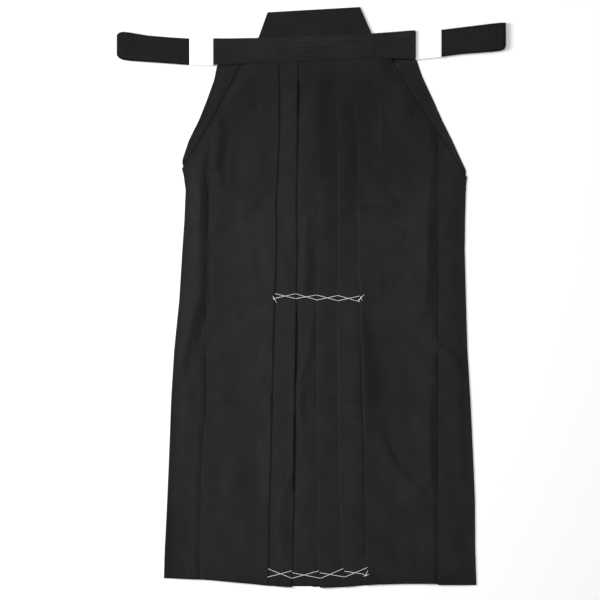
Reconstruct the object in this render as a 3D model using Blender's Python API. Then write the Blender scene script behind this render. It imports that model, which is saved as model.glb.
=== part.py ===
"""Hakama trousers laid flat with the front up, as the pieces that a maker cuts and sews.

The back lies on the ground, and the front lies on it in five knife pleats. The waistband folds over the
top of the front, above the stiff board of the back. The straps are folded into bundles beside the waist,
and a paper band goes round each bundle.

Sizes are in millimetres here and become metres when a mesh is made. +X is the viewer's right, +Y runs
up from hem to waist, and +Z is up from the ground. Right and left in names are the wearer's.
"""

import math
from collections import namedtuple

import bpy
import numpy as np

METRES = 0.001
CLOTH = 1.0
PAPER = 0.6
GAP = 0.3
PITCH = CLOTH + GAP

# The garment's lengths down its front
WAIST = 407.0
HEM = -478.0
BACK_TOP = 390.5
SIDE_TOP_RIGHT = 268.0
SIDE_TOP_LEFT = 270.0
SLIT_RIGHT = 217.0
SLIT_LEFT = 202.0
CENTRE_BACK = 2.0

# The front's pleats
SIDE_DEPTH = 28.0
SHALLOWER = 10.0
RAMP_MARGIN = 1.5
RUN = (0.0, 0.03, 0.09, 0.19, 0.32, 0.45, 0.58, 0.71, 0.84, 0.97)
RUN_RISE = 0.5
STRIP_LIFT = 2.5
RETURN_LIFT = 1.2
TURN = (90.0, 30.0, -30.0, -90.0)

# The soft ridges fade out towards the pleats, the waist and the curled edge
RIDGE_FADE = 0.3
RIDGE_TOP = 330.0
RIDGE_TOP_FADE = 40.0
RIDGE_EDGE_FADE = 12.0

# The outer widths' curl round the back's edge
CURL_RADIUS = 1.3
CURL_TAIL = 0.35
CURL_LENGTH = CURL_RADIUS * math.pi / 2 + CURL_TAIL
BACK_INSET = 1.8
SLIT_STEPS = (20.0, 8.0, 0.0, -8.0, -16.0)
SIDE_RUN = (0.0, 0.14, 0.32, 0.54, 0.78, 1.0)

# The bundles of folded strap, from the ground up
STRAP_FLOOR = PAPER + GAP
BACK_PASSES = 2
FRONT_PASSES = 6
FRONT_FLOOR = STRAP_FLOOR + BACK_PASSES * PITCH
BUNDLE_TOP = FRONT_FLOOR + FRONT_PASSES * PITCH
EDGE_GROOVE = 0.7
PASS_RISES = ((0.0, EDGE_GROOVE), (0.35, 0.0), (0.95, 0.0))
SLIP_RANGE = 1.0

RETURN_STEPS = (260.0, 216.0, 180.0)
PAPER_BOW = 0.8
PAPER_RIGHT = (-202.0, -164.0)
PAPER_LEFT = (176.0, 216.0)

BOARD_THICK = 3.0
BOARD_EDGE = 0.6

Levels = namedtuple("Levels", "level base")
Pleats = namedtuple("Pleats", "level one two three four five")
Outline = namedtuple("Outline", "level right left")
Band = namedtuple("Band", "x low top under over")
Hem = namedtuple("Hem", "x y")
Ridge = namedtuple("Ridge", "x0 y0 x1 y1 height width")
Strip = namedtuple("Strip", "x low top")
Corner = namedtuple("Corner", "x y")

# Sections down the front, and how far the first front layer stands above the ground
FRONT_LEVELS = [
    Levels(WAIST, 4.6),
    Levels(398, 4.6),
    Levels(386, 4.6),
    Levels(374, 3.9),
    Levels(356, 2.6),
    Levels(336, 1.7),
    Levels(312, 1.3),
    Levels(286, 1.3),
    Levels(268, 1.3),
    Levels(245, 1.3),
    Levels(218, 1.3),
    Levels(180, 1.3),
    Levels(140, 1.3),
    Levels(95, 1.3),
    Levels(50, 1.3),
    Levels(0, 1.3),
    Levels(-50, 1.3),
    Levels(-100, 1.3),
    Levels(-145, 1.3),
    Levels(-190, 1.3),
    Levels(-240, 1.3),
    Levels(-290, 1.3),
    Levels(-345, 1.3),
    Levels(-400, 1.3),
    Levels(-448, 1.3),
    Levels(HEM, 1.3),
]

# The visible edges of the five pleats, from the wearer's right to the wearer's left
PLEATS = [
    Pleats(WAIST, -54.5, -23.0, 3.5, 38.5, 71.0),
    Pleats(390, -54.5, -23.0, 3.5, 38.5, 71.0),
    Pleats(336, -53.0, -21.0, 6.0, 40.5, 72.0),
    Pleats(278, -53.0, -23.0, 8.5, 42.5, 76.0),
    Pleats(220, -55.0, -23.5, 9.5, 43.5, 77.5),
    Pleats(145, -58.5, -24.5, 10.5, 44.5, 78.0),
    Pleats(78, -57.5, -23.5, 9.5, 44.5, 78.5),
    Pleats(-4, -60.5, -25.0, 8.5, 43.5, 80.0),
    Pleats(-88, -63.0, -25.5, 9.0, 43.5, 82.5),
    Pleats(-170, -65.0, -28.0, 9.5, 43.5, 84.5),
    Pleats(-254, -66.5, -28.5, 10.0, 45.0, 87.5),
    Pleats(-336, -69.5, -28.5, 10.5, 47.5, 89.0),
    Pleats(-420, -70.0, -30.5, 9.5, 50.0, 89.5),
    Pleats(HEM, -72.0, -32.0, 14.5, 52.5, 90.0),
]

# The garment's own outline, which above the slits is the back's
OUTLINE = [
    Outline(391, -153.5, 173.0),
    Outline(384, -156.5, 176.5),
    Outline(360, -161.5, 187.0),
    Outline(328, -173.0, 202.0),
    Outline(294, -186.5, 217.0),
    Outline(261, -203.0, 233.5),
    Outline(228, -214.0, 248.5),
    Outline(212, -214.5, 256.0),
    Outline(201, -212.0, 258.5),
    Outline(178, -209.0, 257.0),
    Outline(128, -211.0, 255.5),
    Outline(78, -214.5, 255.0),
    Outline(-4, -219.5, 257.0),
    Outline(-88, -228.0, 259.5),
    Outline(-170, -233.0, 264.5),
    Outline(-254, -236.0, 268.5),
    Outline(-336, -239.5, 272.0),
    Outline(-420, -243.5, 272.5),
    Outline(HEM, -245.0, 274.5),
]

# The slanted edges of the front at the side openings
SLIT_EDGE = [
    Outline(WAIST, -108.0, 128.5),
    Outline(389, -113.5, 135.5),
    Outline(351, -134.0, 157.5),
    Outline(321, -150.0, 177.0),
    Outline(286, -169.5, 200.5),
    Outline(268, -179.5, 212.0),
    Outline(244, -195.0, 227.5),
    Outline(219, -211.0, 245.0),
    Outline(204, -214.0, 255.5),
    Outline(190, -216.0, 262.0),
]

# The seams between the pleated widths and the outer widths
SEAM = [
    Outline(WAIST, -176.5, 209.5),
    Outline(222, -176.5, 209.5),
    Outline(148, -168.5, 208.0),
    Outline(95, -172.5, 209.5),
    Outline(9, -174.5, 210.0),
    Outline(-187, -174.5, 210.5),
    Outline(-220, -179.0, 210.5),
    Outline(-300, -183.0, 210.0),
    Outline(HEM, -184.5, 209.5),
]

HEM_RIGHT = [
    Hem(-244.5, -466.0),
    Hem(-178.0, -468.5),
    Hem(-105.0, -475.0),
    Hem(-72.0, -478.5),
    Hem(-33.5, -481.0),
]

HEM_LEFT = [
    Hem(14.5, -482.0),
    Hem(52.5, -481.0),
    Hem(81.0, -478.5),
    Hem(111.0, -476.5),
    Hem(147.5, -475.5),
    Hem(207.0, -475.5),
    Hem(212.0, -477.5),
    Hem(274.5, -477.5),
]

# X across the back's top edge, then its level: it reaches the strap on the wearer's left
BACK_TOP_RIGHT = [Hem(-160.0, BACK_TOP), Hem(0.0, BACK_TOP)]
BACK_TOP_LEFT = [
    Hem(0.0, BACK_TOP),
    Hem(121.7, BACK_TOP),
    Hem(124.0, 394.6),
    Hem(175.0, 394.6),
]
BACK_SHARES_RIGHT = (0.0, 0.25, 0.5, 0.75, 1.0)
BACK_SHARES_LEFT = (0.0, 0.25, 0.5, 0.698, 0.715, 1.0)

# The largest soft ridges of the front, each along a line from its first end to its second
RIDGES = [
    Ridge(-197, 205, -197, -20, 2.4, 8),
    Ridge(-158, 190, -160, -20, 1.3, 12),
    Ridge(-132, 285, -134, 190, 1.6, 11),
    Ridge(-165, 248, -172, 160, 1.2, 8),
    Ridge(-205, -60, -214, -400, 1.6, 11),
    Ridge(-150, -166, -90, -168, 1.3, 9),
    Ridge(-130, -240, -145, -410, 1.0, 16),
    Ridge(178, 250, 182, 80, 1.7, 12),
    Ridge(222, 225, 224, -60, 1.6, 8),
    Ridge(152, 330, 172, 300, 1.4, 9),
    Ridge(132, -60, 152, -150, 2.0, 12),
    Ridge(134, -210, 152, -285, 2.0, 11),
    Ridge(180, -150, 184, -250, 1.4, 12),
    Ridge(244, 120, 250, -300, 1.6, 11),
    Ridge(125, 158, 150, 154, 1.1, 8),
]

BAND = [
    Band(-162.4, 385.0, 429.0, 9.5, 10.8),
    Band(-156.0, 385.4, 429.0, 8.8, 10.4),
    Band(-146.0, 386.0, 429.1, 6.4, 9.5),
    Band(-133.0, 386.7, 429.3, 4.4, 8.6),
    Band(-118.0, 387.3, 429.6, 3.8, 8.3),
    Band(-100.0, 388.0, 429.9, 3.8, 8.6),
    Band(-84.0, 388.4, 430.1, 3.8, 9.0),
    Band(-52.0, 389.0, 431.2, 3.8, 9.1),
    Band(-17.0, 391.5, 432.6, 3.8, 9.0),
    Band(5.0, 392.6, 433.8, 3.8, 9.1),
    Band(26.0, 393.5, 435.0, 3.8, 9.2),
    Band(74.5, 395.5, 436.6, 3.8, 9.1),
    Band(100.0, 396.0, 437.6, 3.8, 9.0),
    Band(116.0, 396.0, 438.6, 3.8, 8.7),
    Band(134.0, 396.0, 439.9, 3.9, 8.4),
    Band(148.0, 395.7, 440.9, 5.4, 9.0),
    Band(162.0, 395.0, 441.9, 8.2, 10.1),
    Band(173.4, 394.5, 442.5, 9.5, 10.8),
]
BAND_ROWS = (0.17, 0.36, 0.54, 0.76, 0.97)
BAND_PUFF = 0.45
BAND_STEPS = 27

# The bundles in plan, from the waist outwards
STRAP_RIGHT = [
    Strip(-163.0, 385.0, 429.0),
    Strip(-201.5, 385.0, 429.0),
    Strip(-234.5, 387.5, 431.0),
    Strip(-271.0, 390.0, 434.0),
    Strip(-300.0, 392.5, 439.0),
    Strip(-312.5, 394.5, 440.5),
    Strip(-318.5, 397.0, 438.5),
    Strip(-321.5, 401.0, 434.0),
]

STRAP_LEFT = [
    Strip(174.0, 394.5, 442.5),
    Strip(216.0, 399.0, 443.5),
    Strip(247.0, 403.0, 447.5),
    Strip(280.0, 405.5, 451.5),
    Strip(300.0, 407.0, 454.0),
    Strip(313.0, 408.5, 455.3),
    Strip(320.0, 411.0, 455.6),
    Strip(322.5, 416.0, 453.0),
]

# How far each hidden pass of a front strap shows past the one above it, from the lowest up
SLIPS = (0.9, 0.2, 0.8, 0.0, 1.0, 0.6)

# The short back straps between the board and their bundles
BACK_STRAP_RIGHT = [
    Strip(-88.0, 391.4, 429.0),
    Strip(-120.0, 391.4, 428.6),
    Strip(-154.0, 391.4, 428.4),
    Strip(-160.0, 389.0, 428.2),
    Strip(-201.5, 386.5, 428.0),
    Strip(-260.0, 390.5, 431.5),
    Strip(-318.0, 396.0, 437.0),
]

BACK_STRAP_LEFT = [
    Strip(100.0, 395.2, 437.0),
    Strip(130.0, 395.2, 439.0),
    Strip(160.0, 395.2, 441.0),
    Strip(173.0, 396.5, 441.5),
    Strip(216.0, 400.5, 442.5),
    Strip(260.0, 404.5, 448.0),
    Strip(319.0, 411.5, 454.0),
]

BOARD = [
    Corner(-102.0, 391.5),
    Corner(-95.0, 411.0),
    Corner(-87.5, 429.5),
    Corner(-80.0, 450.5),
    Corner(-74.0, 468.5),
    Corner(-71.5, 472.0),
    Corner(-67.0, 473.3),
    Corner(0.0, 477.2),
    Corner(76.0, 481.8),
    Corner(80.5, 480.8),
    Corner(83.0, 477.5),
    Corner(91.5, 458.0),
    Corner(100.0, 438.0),
    Corner(110.5, 415.0),
    Corner(120.5, 391.5),
]

COLOURS = {
    "cloth": (0.022, 0.021, 0.021, 1.0),
    "board": (0.018, 0.017, 0.017, 1.0),
    "strap": (0.020, 0.019, 0.019, 1.0),
    "paper": (0.90, 0.90, 0.89, 1.0),
}


def read(table, key, name, at):
    """Value of one column of a table at a place along its key column, straight between rows."""
    rows = sorted(table, key=lambda row: getattr(row, key))
    places = [getattr(row, key) for row in rows]
    values = [getattr(row, name) for row in rows]
    return float(np.interp(at, places, values))


def smooth(value):
    """Soft step from 0 to 1 as the value goes from 0 to 1."""
    held = min(max(value, 0.0), 1.0)
    return held * held * (3.0 - 2.0 * held)


def ridge_height(x, y):
    """Height that the soft ridges add at one place of the front."""
    total = 0.0
    for ridge in RIDGES:
        along = np.array([ridge.x1 - ridge.x0, ridge.y1 - ridge.y0], dtype=float)
        away = np.array([x - ridge.x0, y - ridge.y0], dtype=float)
        part = min(max(float(away @ along) / float(along @ along), 0.0), 1.0)
        far = float(np.linalg.norm(away - part * along))
        total += ridge.height * math.exp(-((far / ridge.width) ** 2))
    return total


def offsets(path, thickness):
    """The two sides of an open path in a plane, half a thickness from it, mitred at its corners."""
    points = np.array(path, dtype=float)
    steps = np.diff(points, axis=0)
    steps /= np.linalg.norm(steps, axis=1)[:, None]
    across = np.stack([-steps[:, 1], steps[:, 0]], axis=1)
    before = np.vstack([across[:1], across])
    after = np.vstack([across, across[-1:]])
    mitre = before + after
    mitre /= (1.0 + (before * after).sum(axis=1))[:, None]
    return points + mitre * thickness / 2, points - mitre * thickness / 2


def add_object(name, points, triangles, colour):
    """One closed mesh, its faces turned outwards, with a material of its own."""
    points = np.array(points, dtype=float) * METRES
    triangles = np.array(triangles, dtype=int)
    corners = points[triangles]
    volume = (np.cross(corners[:, 0], corners[:, 1]) * corners[:, 2]).sum()
    if volume < 0:
        triangles = triangles[:, ::-1]
    mesh = bpy.data.meshes.new(name)
    mesh.from_pydata(points.tolist(), [], triangles.tolist())
    mesh.polygons.foreach_set("use_smooth", [True] * len(mesh.polygons))
    mesh.set_sharp_from_angle(angle=math.radians(40.0))
    material = bpy.data.materials.new(name)
    material.use_nodes = True
    shader = material.node_tree.nodes["Principled BSDF"]
    shader.inputs["Base Color"].default_value = COLOURS[colour]
    shader.inputs["Roughness"].default_value = 0.85
    mesh.materials.append(material)
    item = bpy.data.objects.new(name, mesh)
    bpy.context.scene.collection.objects.link(item)
    return item


def split(a, b, c, d):
    """The two triangles of a four-sided face."""
    return [(a, b, c), (a, c, d)]


def add_wall(name, outer, inner, colour, closed=False):
    """Closed wall between two grids of points, the rows of which are sections."""
    outer = np.array(outer, dtype=float)
    inner = np.array(inner, dtype=float)
    rows, count = outer.shape[:2]
    points = np.vstack([outer.reshape(-1, 3), inner.reshape(-1, 3)])
    top = np.arange(rows * count).reshape(rows, count)
    low = top + rows * count
    triangles = []
    for i in range(count if closed else count - 1):
        k = (i + 1) % count
        for j in range(rows - 1):
            triangles += split(top[j, i], top[j, k], top[j + 1, k], top[j + 1, i])
            triangles += [(low[j, i], low[j + 1, k], low[j, k])]
            triangles += [(low[j, i], low[j + 1, i], low[j + 1, k])]
        triangles += split(top[0, i], low[0, i], low[0, k], top[0, k])
        triangles += split(top[-1, k], low[-1, k], low[-1, i], top[-1, i])
    if not closed:
        for j in range(rows - 1):
            triangles += split(top[j, 0], top[j + 1, 0], low[j + 1, 0], low[j, 0])
            triangles += split(top[j, -1], low[j, -1], low[j + 1, -1], top[j + 1, -1])
    return add_object(name, points, triangles, colour)


def add_stack(name, rings, colour):
    """Closed body through rings of equal count, capped flat at the first and the last."""
    rings = np.array(rings, dtype=float)
    count = rings.shape[1]
    triangles = []
    for j in range(len(rings) - 1):
        for i in range(count):
            k = (i + 1) % count
            a = j * count
            triangles += split(a + i, a + k, a + count + k, a + count + i)
    last = (len(rings) - 1) * count
    for i in range((count - 1) // 2):
        facet = [(i, i + 1, count - 1 - i)]
        if i + 1 != count - 2 - i:
            facet = split(i, i + 1, count - 2 - i, count - 1 - i)
        for corners in facet:
            triangles.append(tuple(reversed(corners)))
            triangles.append(tuple(last + corner for corner in corners))
    return add_object(name, rings.reshape(-1, 3), triangles, colour)


def turn(edge, upper, lower, facing):
    """Centre points of a fold that touches an edge, from its upper layer to its lower one."""
    radius = (upper - lower) / 2
    centre = edge - facing * (CLOTH / 2 + radius)
    middle = (upper + lower) / 2
    points = []
    for angle in TURN:
        a = math.radians(angle)
        points.append((centre + facing * radius * math.cos(a), middle + radius * math.sin(a)))
    return points


def pleated(edge, folds, depths, low):
    """Centre points (x, z, lift) of a pleated width whose folds face +X, from its side edge inwards.

    Each fold turns under, runs back by its depth, turns again and comes out below as the next strip.
    """
    first = low + CLOTH / 2
    second = first + PITCH
    third = second + PITCH
    stop = folds[0] - depths[0] - RAMP_MARGIN
    points = []
    for share in RUN:
        rise = smooth((share - RUN_RISE) / (RUN[-1] - RUN_RISE))
        points.append((edge + share * (stop - edge), first + rise * 2 * PITCH, 0.0))
    for number, (fold, depth) in enumerate(zip(folds, depths)):
        if number:
            points.append((folds[number - 1] + RAMP_MARGIN, first, STRIP_LIFT * 0.6))
            points.append((fold - depth - RAMP_MARGIN, third, 0.0))
        for x, z in turn(fold, third, second, 1):
            points.append((x, z, 0.0 if z > second + PITCH / 2 else RETURN_LIFT))
        for x, z in turn(fold - depth, second, first, -1):
            points.append((x, z, RETURN_LIFT))
    return points


def front_row(points, level, hem, edge, mirrored):
    """Turn one section of the front into its two sides, with the soft ridges and the hem's curve."""
    sign = -1.0 if mirrored else 1.0
    inner_limit = points[len(RUN) - 1][0]
    path = []
    for number, (x, z, lift) in enumerate(points):
        height = 0.0
        if number < len(RUN):
            share = (x - edge) / max(inner_limit - edge, 1.0)
            height = ridge_height(sign * x, level) * smooth((1.0 - share) / RIDGE_FADE)
            height *= smooth((RIDGE_TOP - level) / RIDGE_TOP_FADE)
        path.append((x, z + height))
    above, below = offsets(path, CLOTH)
    rows = []
    for side in (above, below):
        row = []
        for (x, z), (_, _, lift) in zip(side, points):
            y = level
            if level == HEM:
                y = read(hem, "x", "y", sign * x) + lift
            row.append((sign * x, y, z))
        rows.append(row)
    return rows


def front_edge(level, side):
    """The outer edge of a pleated width, first the slit's slant and then the seam."""
    slant = read(SLIT_EDGE, "level", side, level)
    seam = read(SEAM, "level", side, level)
    if side == "right":
        return max(slant, seam + GAP / 2)
    return min(slant, seam - GAP / 2)


def add_front_right():
    """The wearer's right pleated width with two folds, and the low centre strip beside them."""
    outer = []
    inner = []
    for level, base in FRONT_LEVELS:
        pleat = [read(PLEATS, "level", name, level) for name in Pleats._fields[1:]]
        edge = front_edge(level, "right")
        depths = (SIDE_DEPTH, pleat[1] - pleat[0] - SHALLOWER)
        points = pleated(edge, pleat[:2], depths, base)
        first = base + CLOTH / 2
        end = pleat[2] + (pleat[3] - pleat[2] - SHALLOWER)
        start = pleat[1] + RAMP_MARGIN
        points.append((start, first, STRIP_LIFT))
        points.append((start + (pleat[2] - start) / 3, first, STRIP_LIFT))
        points.append((start + (pleat[2] - start) * 2 / 3, first, STRIP_LIFT))
        points.append((pleat[2], first, STRIP_LIFT))
        points.append((end, first, STRIP_LIFT))
        above, below = front_row(points, level, HEM_RIGHT, edge, False)
        outer.append(above)
        inner.append(below)
    add_wall("front_right", outer, inner, "cloth")


def add_front_left():
    """The wearer's left pleated width with three folds, worked out mirrored."""
    outer = []
    inner = []
    for level, base in FRONT_LEVELS:
        pleat = [read(PLEATS, "level", name, level) for name in Pleats._fields[1:]]
        edge = -front_edge(level, "left")
        folds = (-pleat[4], -pleat[3], -pleat[2])
        depths = (SIDE_DEPTH, pleat[4] - pleat[3] - SHALLOWER, pleat[3] - pleat[2] - SHALLOWER)
        points = pleated(edge, folds, depths, base)
        del points[-len(TURN) :]
        points.append((folds[2] - depths[2] + GAP, base + CLOTH / 2 + PITCH, RETURN_LIFT))
        above, below = front_row(points, level, HEM_LEFT, edge, True)
        outer.append(above)
        inner.append(below)
    add_wall("front_left", outer, inner, "cloth")


def curl_share(level, slit):
    """How far an outer width is curled down at a level, from 0 above the slit's end to 1."""
    return smooth((slit + 4.0 - level) / 18.0)


def side_edge(level, side, slit):
    """How far an outer width reaches at a level: to the slit's slant, and below it to the outline."""
    slant = abs(read(SLIT_EDGE, "level", side, level))
    limit = abs(read(OUTLINE, "level", side, level))
    return limit if level < slit else min(slant, limit)


def levels_below(slit):
    """The sections that an outer width and its back share, from just above the slit's end down."""
    levels = [slit + step for step in SLIT_STEPS]
    return levels + [row.level for row in FRONT_LEVELS if row.level < slit - 20.0]


def add_front_side(side, slit, top, hem):
    """An outer width: a flat run from the seam, curled round the back's edge below the slit."""
    sign = -1.0 if side == "right" else 1.0
    levels = [top] + levels_below(slit)
    first = GAP + CLOTH + CLOTH / 2
    outer = []
    inner = []
    for level in levels:
        curl = curl_share(level, slit)
        edge = side_edge(level, side, slit)
        seam = abs(read(SEAM, "level", side, level)) + GAP / 2
        start = edge - (CURL_LENGTH * (1.0 - curl) + BACK_INSET * curl)
        short = min(1.0, (edge - seam) / (2 * CURL_LENGTH))
        start = max(start, edge - (edge - start) * short)
        path = [(seam + share * (start - seam), first) for share in SIDE_RUN]
        angle = max(curl, 0.001) * math.pi / 2
        radius = CURL_RADIUS * short * (math.pi / 2) / angle
        for share in (0.34, 0.67, 1.0):
            a = angle * share
            path.append((start + radius * math.sin(a), first - radius * (1.0 - math.cos(a))))
        tail = CURL_TAIL * short
        last = path[-1]
        path.append((last[0] + tail * math.cos(angle), last[1] - tail * math.sin(angle)))
        raised = []
        for x, z in path:
            height = ridge_height(sign * x, level) * smooth((start - x) / RIDGE_EDGE_FADE)
            raised.append((x, z + height))
        above, below = offsets(raised, CLOTH)
        for rows, points in ((outer, above), (inner, below)):
            row = []
            for x, z in points:
                y = read(hem, "x", "y", sign * x) if level == HEM else level
                row.append((sign * x, y, z))
            rows.append(row)
    add_wall("front_side_" + side, outer, inner, "cloth")


def add_back(side, slit, hem, top, shares):
    """One half of the back, flat on the ground from its outer edge to the centre seam."""
    sign = -1.0 if side == "right" else 1.0
    levels = [BACK_TOP]
    levels += [row.level for row in FRONT_LEVELS if slit + 24.0 < row.level < BACK_TOP - 3.0]
    levels += levels_below(slit)
    outer = []
    inner = []
    for level in levels:
        edge = abs(read(OUTLINE, "level", side, level))
        if curl_share(level, slit) > 0.0:
            edge = side_edge(level, side, slit) - BACK_INSET
        centre = sign * CENTRE_BACK + GAP / 2
        above = []
        below = []
        for share in shares:
            x = sign * (centre + share * (edge - centre))
            y = level
            if level == BACK_TOP:
                y = read(top, "x", "y", x)
            if level == HEM:
                y = read(hem, "x", "y", x) + RETURN_LIFT
            above.append((x, y, CLOTH))
            below.append((x, y, 0.0))
        outer.append(above)
        inner.append(below)
    add_wall("back_" + side, outer, inner, "cloth")


def add_band():
    """The waistband, folded over the top of the front and puffed between its rows of stitching."""
    outer = []
    inner = []
    for x in np.linspace(BAND[0].x, BAND[-1].x, BAND_STEPS):
        low, top, under, over = [read(BAND, "x", name, x) for name in Band._fields[1:]]
        radius = (over - under) / 2
        shoulder = top - CLOTH / 2 - radius
        path = [(low + 1.5, under), ((low + shoulder) / 2, under), (shoulder, under)]
        for angle in (-55.0, -20.0, 20.0, 55.0):
            a = math.radians(angle)
            path.append((shoulder + radius * math.cos(a), under + radius + radius * math.sin(a)))
        path.append((shoulder, over))
        width = top - low
        before = (top - shoulder) / width
        for share in BAND_ROWS:
            place = top - share * width
            if share <= before + 0.02:
                place = shoulder - 0.02 * width
            middle = (path[-1][0] + place) / 2
            path.append((middle, over + BAND_PUFF))
            path.append((place, over))
        path.append((low, over + BAND_PUFF / 4))
        above, below = offsets(path, CLOTH)
        outer.append([(x, y, z) for y, z in above])
        inner.append([(x, y, z) for y, z in below])
    add_wall("front_band", outer, inner, "cloth")


def drawn_in(ring, inset):
    """A closed ring in plan moved inwards by an inset, mitred at its corners."""
    points = np.array(ring, dtype=float)
    steps = np.roll(points, -1, axis=0) - points
    steps /= np.linalg.norm(steps, axis=1)[:, None]
    turning = (points[:, 0] * np.roll(points[:, 1], -1)).sum()
    turning -= (points[:, 1] * np.roll(points[:, 0], -1)).sum()
    inwards = np.stack([-steps[:, 1], steps[:, 0]], axis=1)
    if turning < 0:
        inwards = -inwards
    mitre = inwards + np.roll(inwards, 1, axis=0)
    mitre /= (1.0 + (inwards * np.roll(inwards, 1, axis=0)).sum(axis=1))[:, None]
    return points + mitre * inset


def plan_ring(strips):
    """The ring in plan round a table of strips, up one side and back down the other."""
    upper = [(row.x, row.top) for row in strips]
    lower = [(row.x, row.low) for row in strips]
    return upper + lower[::-1]


def add_bundle(name, strips):
    """A folded front strap as one body, with a groove between its passes all round."""
    plan = plan_ring(strips)
    rings = []
    for number in range(FRONT_PASSES):
        floor = FRONT_FLOOR + number * PITCH
        slip = SLIPS[number]
        for rise, inset in PASS_RISES:
            ring = drawn_in(plan, inset + SLIP_RANGE - slip)
            rings.append([(x, y, floor + rise) for x, y in ring])
    ring = drawn_in(plan, EDGE_GROOVE + SLIP_RANGE - SLIPS[-1])
    rings.append([(x, y, BUNDLE_TOP) for x, y in ring])
    add_stack(name, rings, "strap")


def add_back_strap(name, strips, board_side, sign):
    """A back strap: one pass from the board out to the fold, and a pass back under the front strap."""
    first = STRAP_FLOOR + CLOTH / 2
    second = first + PITCH
    end = abs(strips[-1].x)
    outer = []
    inner = []
    for share in (0.0, 0.5, 1.0):
        near = strips[0]
        begin = abs(read(board_side, "y", "x", near.low + share * (near.top - near.low)))
        path = [(begin + 2 * GAP, first)]
        path += [(abs(row.x), first) for row in strips[1:-1]]
        path += [(x, z) for x, z in reversed(turn(end, second, first, 1))]
        path += [(x, second) for x in RETURN_STEPS]
        above, below = offsets(path, CLOTH)
        for rows, points in ((outer, above), (inner, below)):
            row = []
            for x, z in points:
                low = read(strips, "x", "low", sign * x)
                top = read(strips, "x", "top", sign * x)
                row.append((sign * x, low + share * (top - low), z))
            rows.append(row)
    add_wall(name, outer, inner, "strap")


def add_paper(name, strips, ends):
    """A closed paper band round one bundle, bevelled at its four corners."""
    start, end = ends
    high = BUNDLE_TOP + GAP
    outer = []
    inner = []
    for x in (start, (start + end) / 2, end):
        low = read(strips, "x", "low", x) - GAP
        top = read(strips, "x", "top", x) + GAP
        middle = (low + top) / 2
        inside = [(low + PAPER_BOW, PAPER), (low, PAPER + PAPER_BOW)]
        inside += [(low, high - PAPER_BOW), (low + PAPER_BOW, high)]
        inside += [(middle, high), (top - PAPER_BOW, high)]
        inside += [(top, high - PAPER_BOW), (top, PAPER + PAPER_BOW)]
        inside += [(top - PAPER_BOW, PAPER), (middle, PAPER)]
        around = drawn_in(inside, -PAPER)
        outer.append([(x, y, z) for y, z in around])
        inner.append([(x, y, z) for y, z in inside])
    add_wall(name, outer, inner, "paper", closed=True)


def add_board():
    """The stiff board at the top of the back, with its edges eased."""
    plan = [(row.x, row.y) for row in BOARD]
    rings = []
    for z, inset in (
        (0.0, BOARD_EDGE),
        (BOARD_EDGE, 0.0),
        (BOARD_THICK - BOARD_EDGE, 0.0),
        (BOARD_THICK, BOARD_EDGE),
    ):
        rings.append([(x, y, z) for x, y in drawn_in(plan, inset)])
    add_stack("back_board", rings, "board")


for item in list(bpy.data.objects):
    bpy.data.objects.remove(item, do_unlink=True)

add_front_right()
add_front_left()
add_front_side("right", SLIT_RIGHT, SIDE_TOP_RIGHT, HEM_RIGHT)
add_front_side("left", SLIT_LEFT, SIDE_TOP_LEFT, HEM_LEFT)
add_back("right", SLIT_RIGHT, HEM_RIGHT, BACK_TOP_RIGHT, BACK_SHARES_RIGHT)
add_back("left", SLIT_LEFT, HEM_LEFT, BACK_TOP_LEFT, BACK_SHARES_LEFT)
add_board()
add_back_strap("back_strap_right", BACK_STRAP_RIGHT, BOARD[:4], -1.0)
add_back_strap("back_strap_left", BACK_STRAP_LEFT, BOARD[-4:], 1.0)
add_band()
add_bundle("front_strap_right", STRAP_RIGHT)
add_bundle("front_strap_left", STRAP_LEFT)
add_paper("paper_band_right", STRAP_RIGHT, PAPER_RIGHT)
add_paper("paper_band_left", STRAP_LEFT, PAPER_LEFT)
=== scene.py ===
import math

import bpy
import numpy as np
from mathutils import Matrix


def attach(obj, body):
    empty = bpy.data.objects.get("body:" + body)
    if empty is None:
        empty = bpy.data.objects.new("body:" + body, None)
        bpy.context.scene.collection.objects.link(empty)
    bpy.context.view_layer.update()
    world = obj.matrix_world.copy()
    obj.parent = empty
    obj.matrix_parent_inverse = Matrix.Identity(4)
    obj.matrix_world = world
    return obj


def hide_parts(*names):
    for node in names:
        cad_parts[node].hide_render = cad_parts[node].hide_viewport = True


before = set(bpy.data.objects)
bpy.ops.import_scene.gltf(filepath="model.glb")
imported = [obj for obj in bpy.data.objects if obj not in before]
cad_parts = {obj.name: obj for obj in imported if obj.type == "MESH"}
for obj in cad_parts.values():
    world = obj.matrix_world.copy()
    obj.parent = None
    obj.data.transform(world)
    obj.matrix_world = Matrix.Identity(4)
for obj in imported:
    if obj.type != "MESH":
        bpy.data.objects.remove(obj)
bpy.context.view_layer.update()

# The back of the trousers: two legs of black polyester cloth, flat on the ground and seamed at the
# centre. Their outer edges above the slits are turned over in a narrow hem and stitched down.
MM = 0.001
CLOTH = 0.55
GAP = 0.3
EDGE_TAPER = 0.8
HEM_LEVEL = -478.0
CENTRE_BACK = 2.0
BACK_ROWS = 220
BACK_COLUMNS = 90
HEM_SHARE = 0.1
EDGE_SHARE = 0.03
SPREAD = 0.8
HEM_TURN = 5.0
HEM_TURN_RISE = 0.45
HEM_LIFT = 1.4
SLIT_END = {"right": 217.0, "left": 202.0}
SIDE_INSET = 1.8
CLOTH_COLOUR = (0.0137, 0.0134, 0.0121, 1.0)

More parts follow.
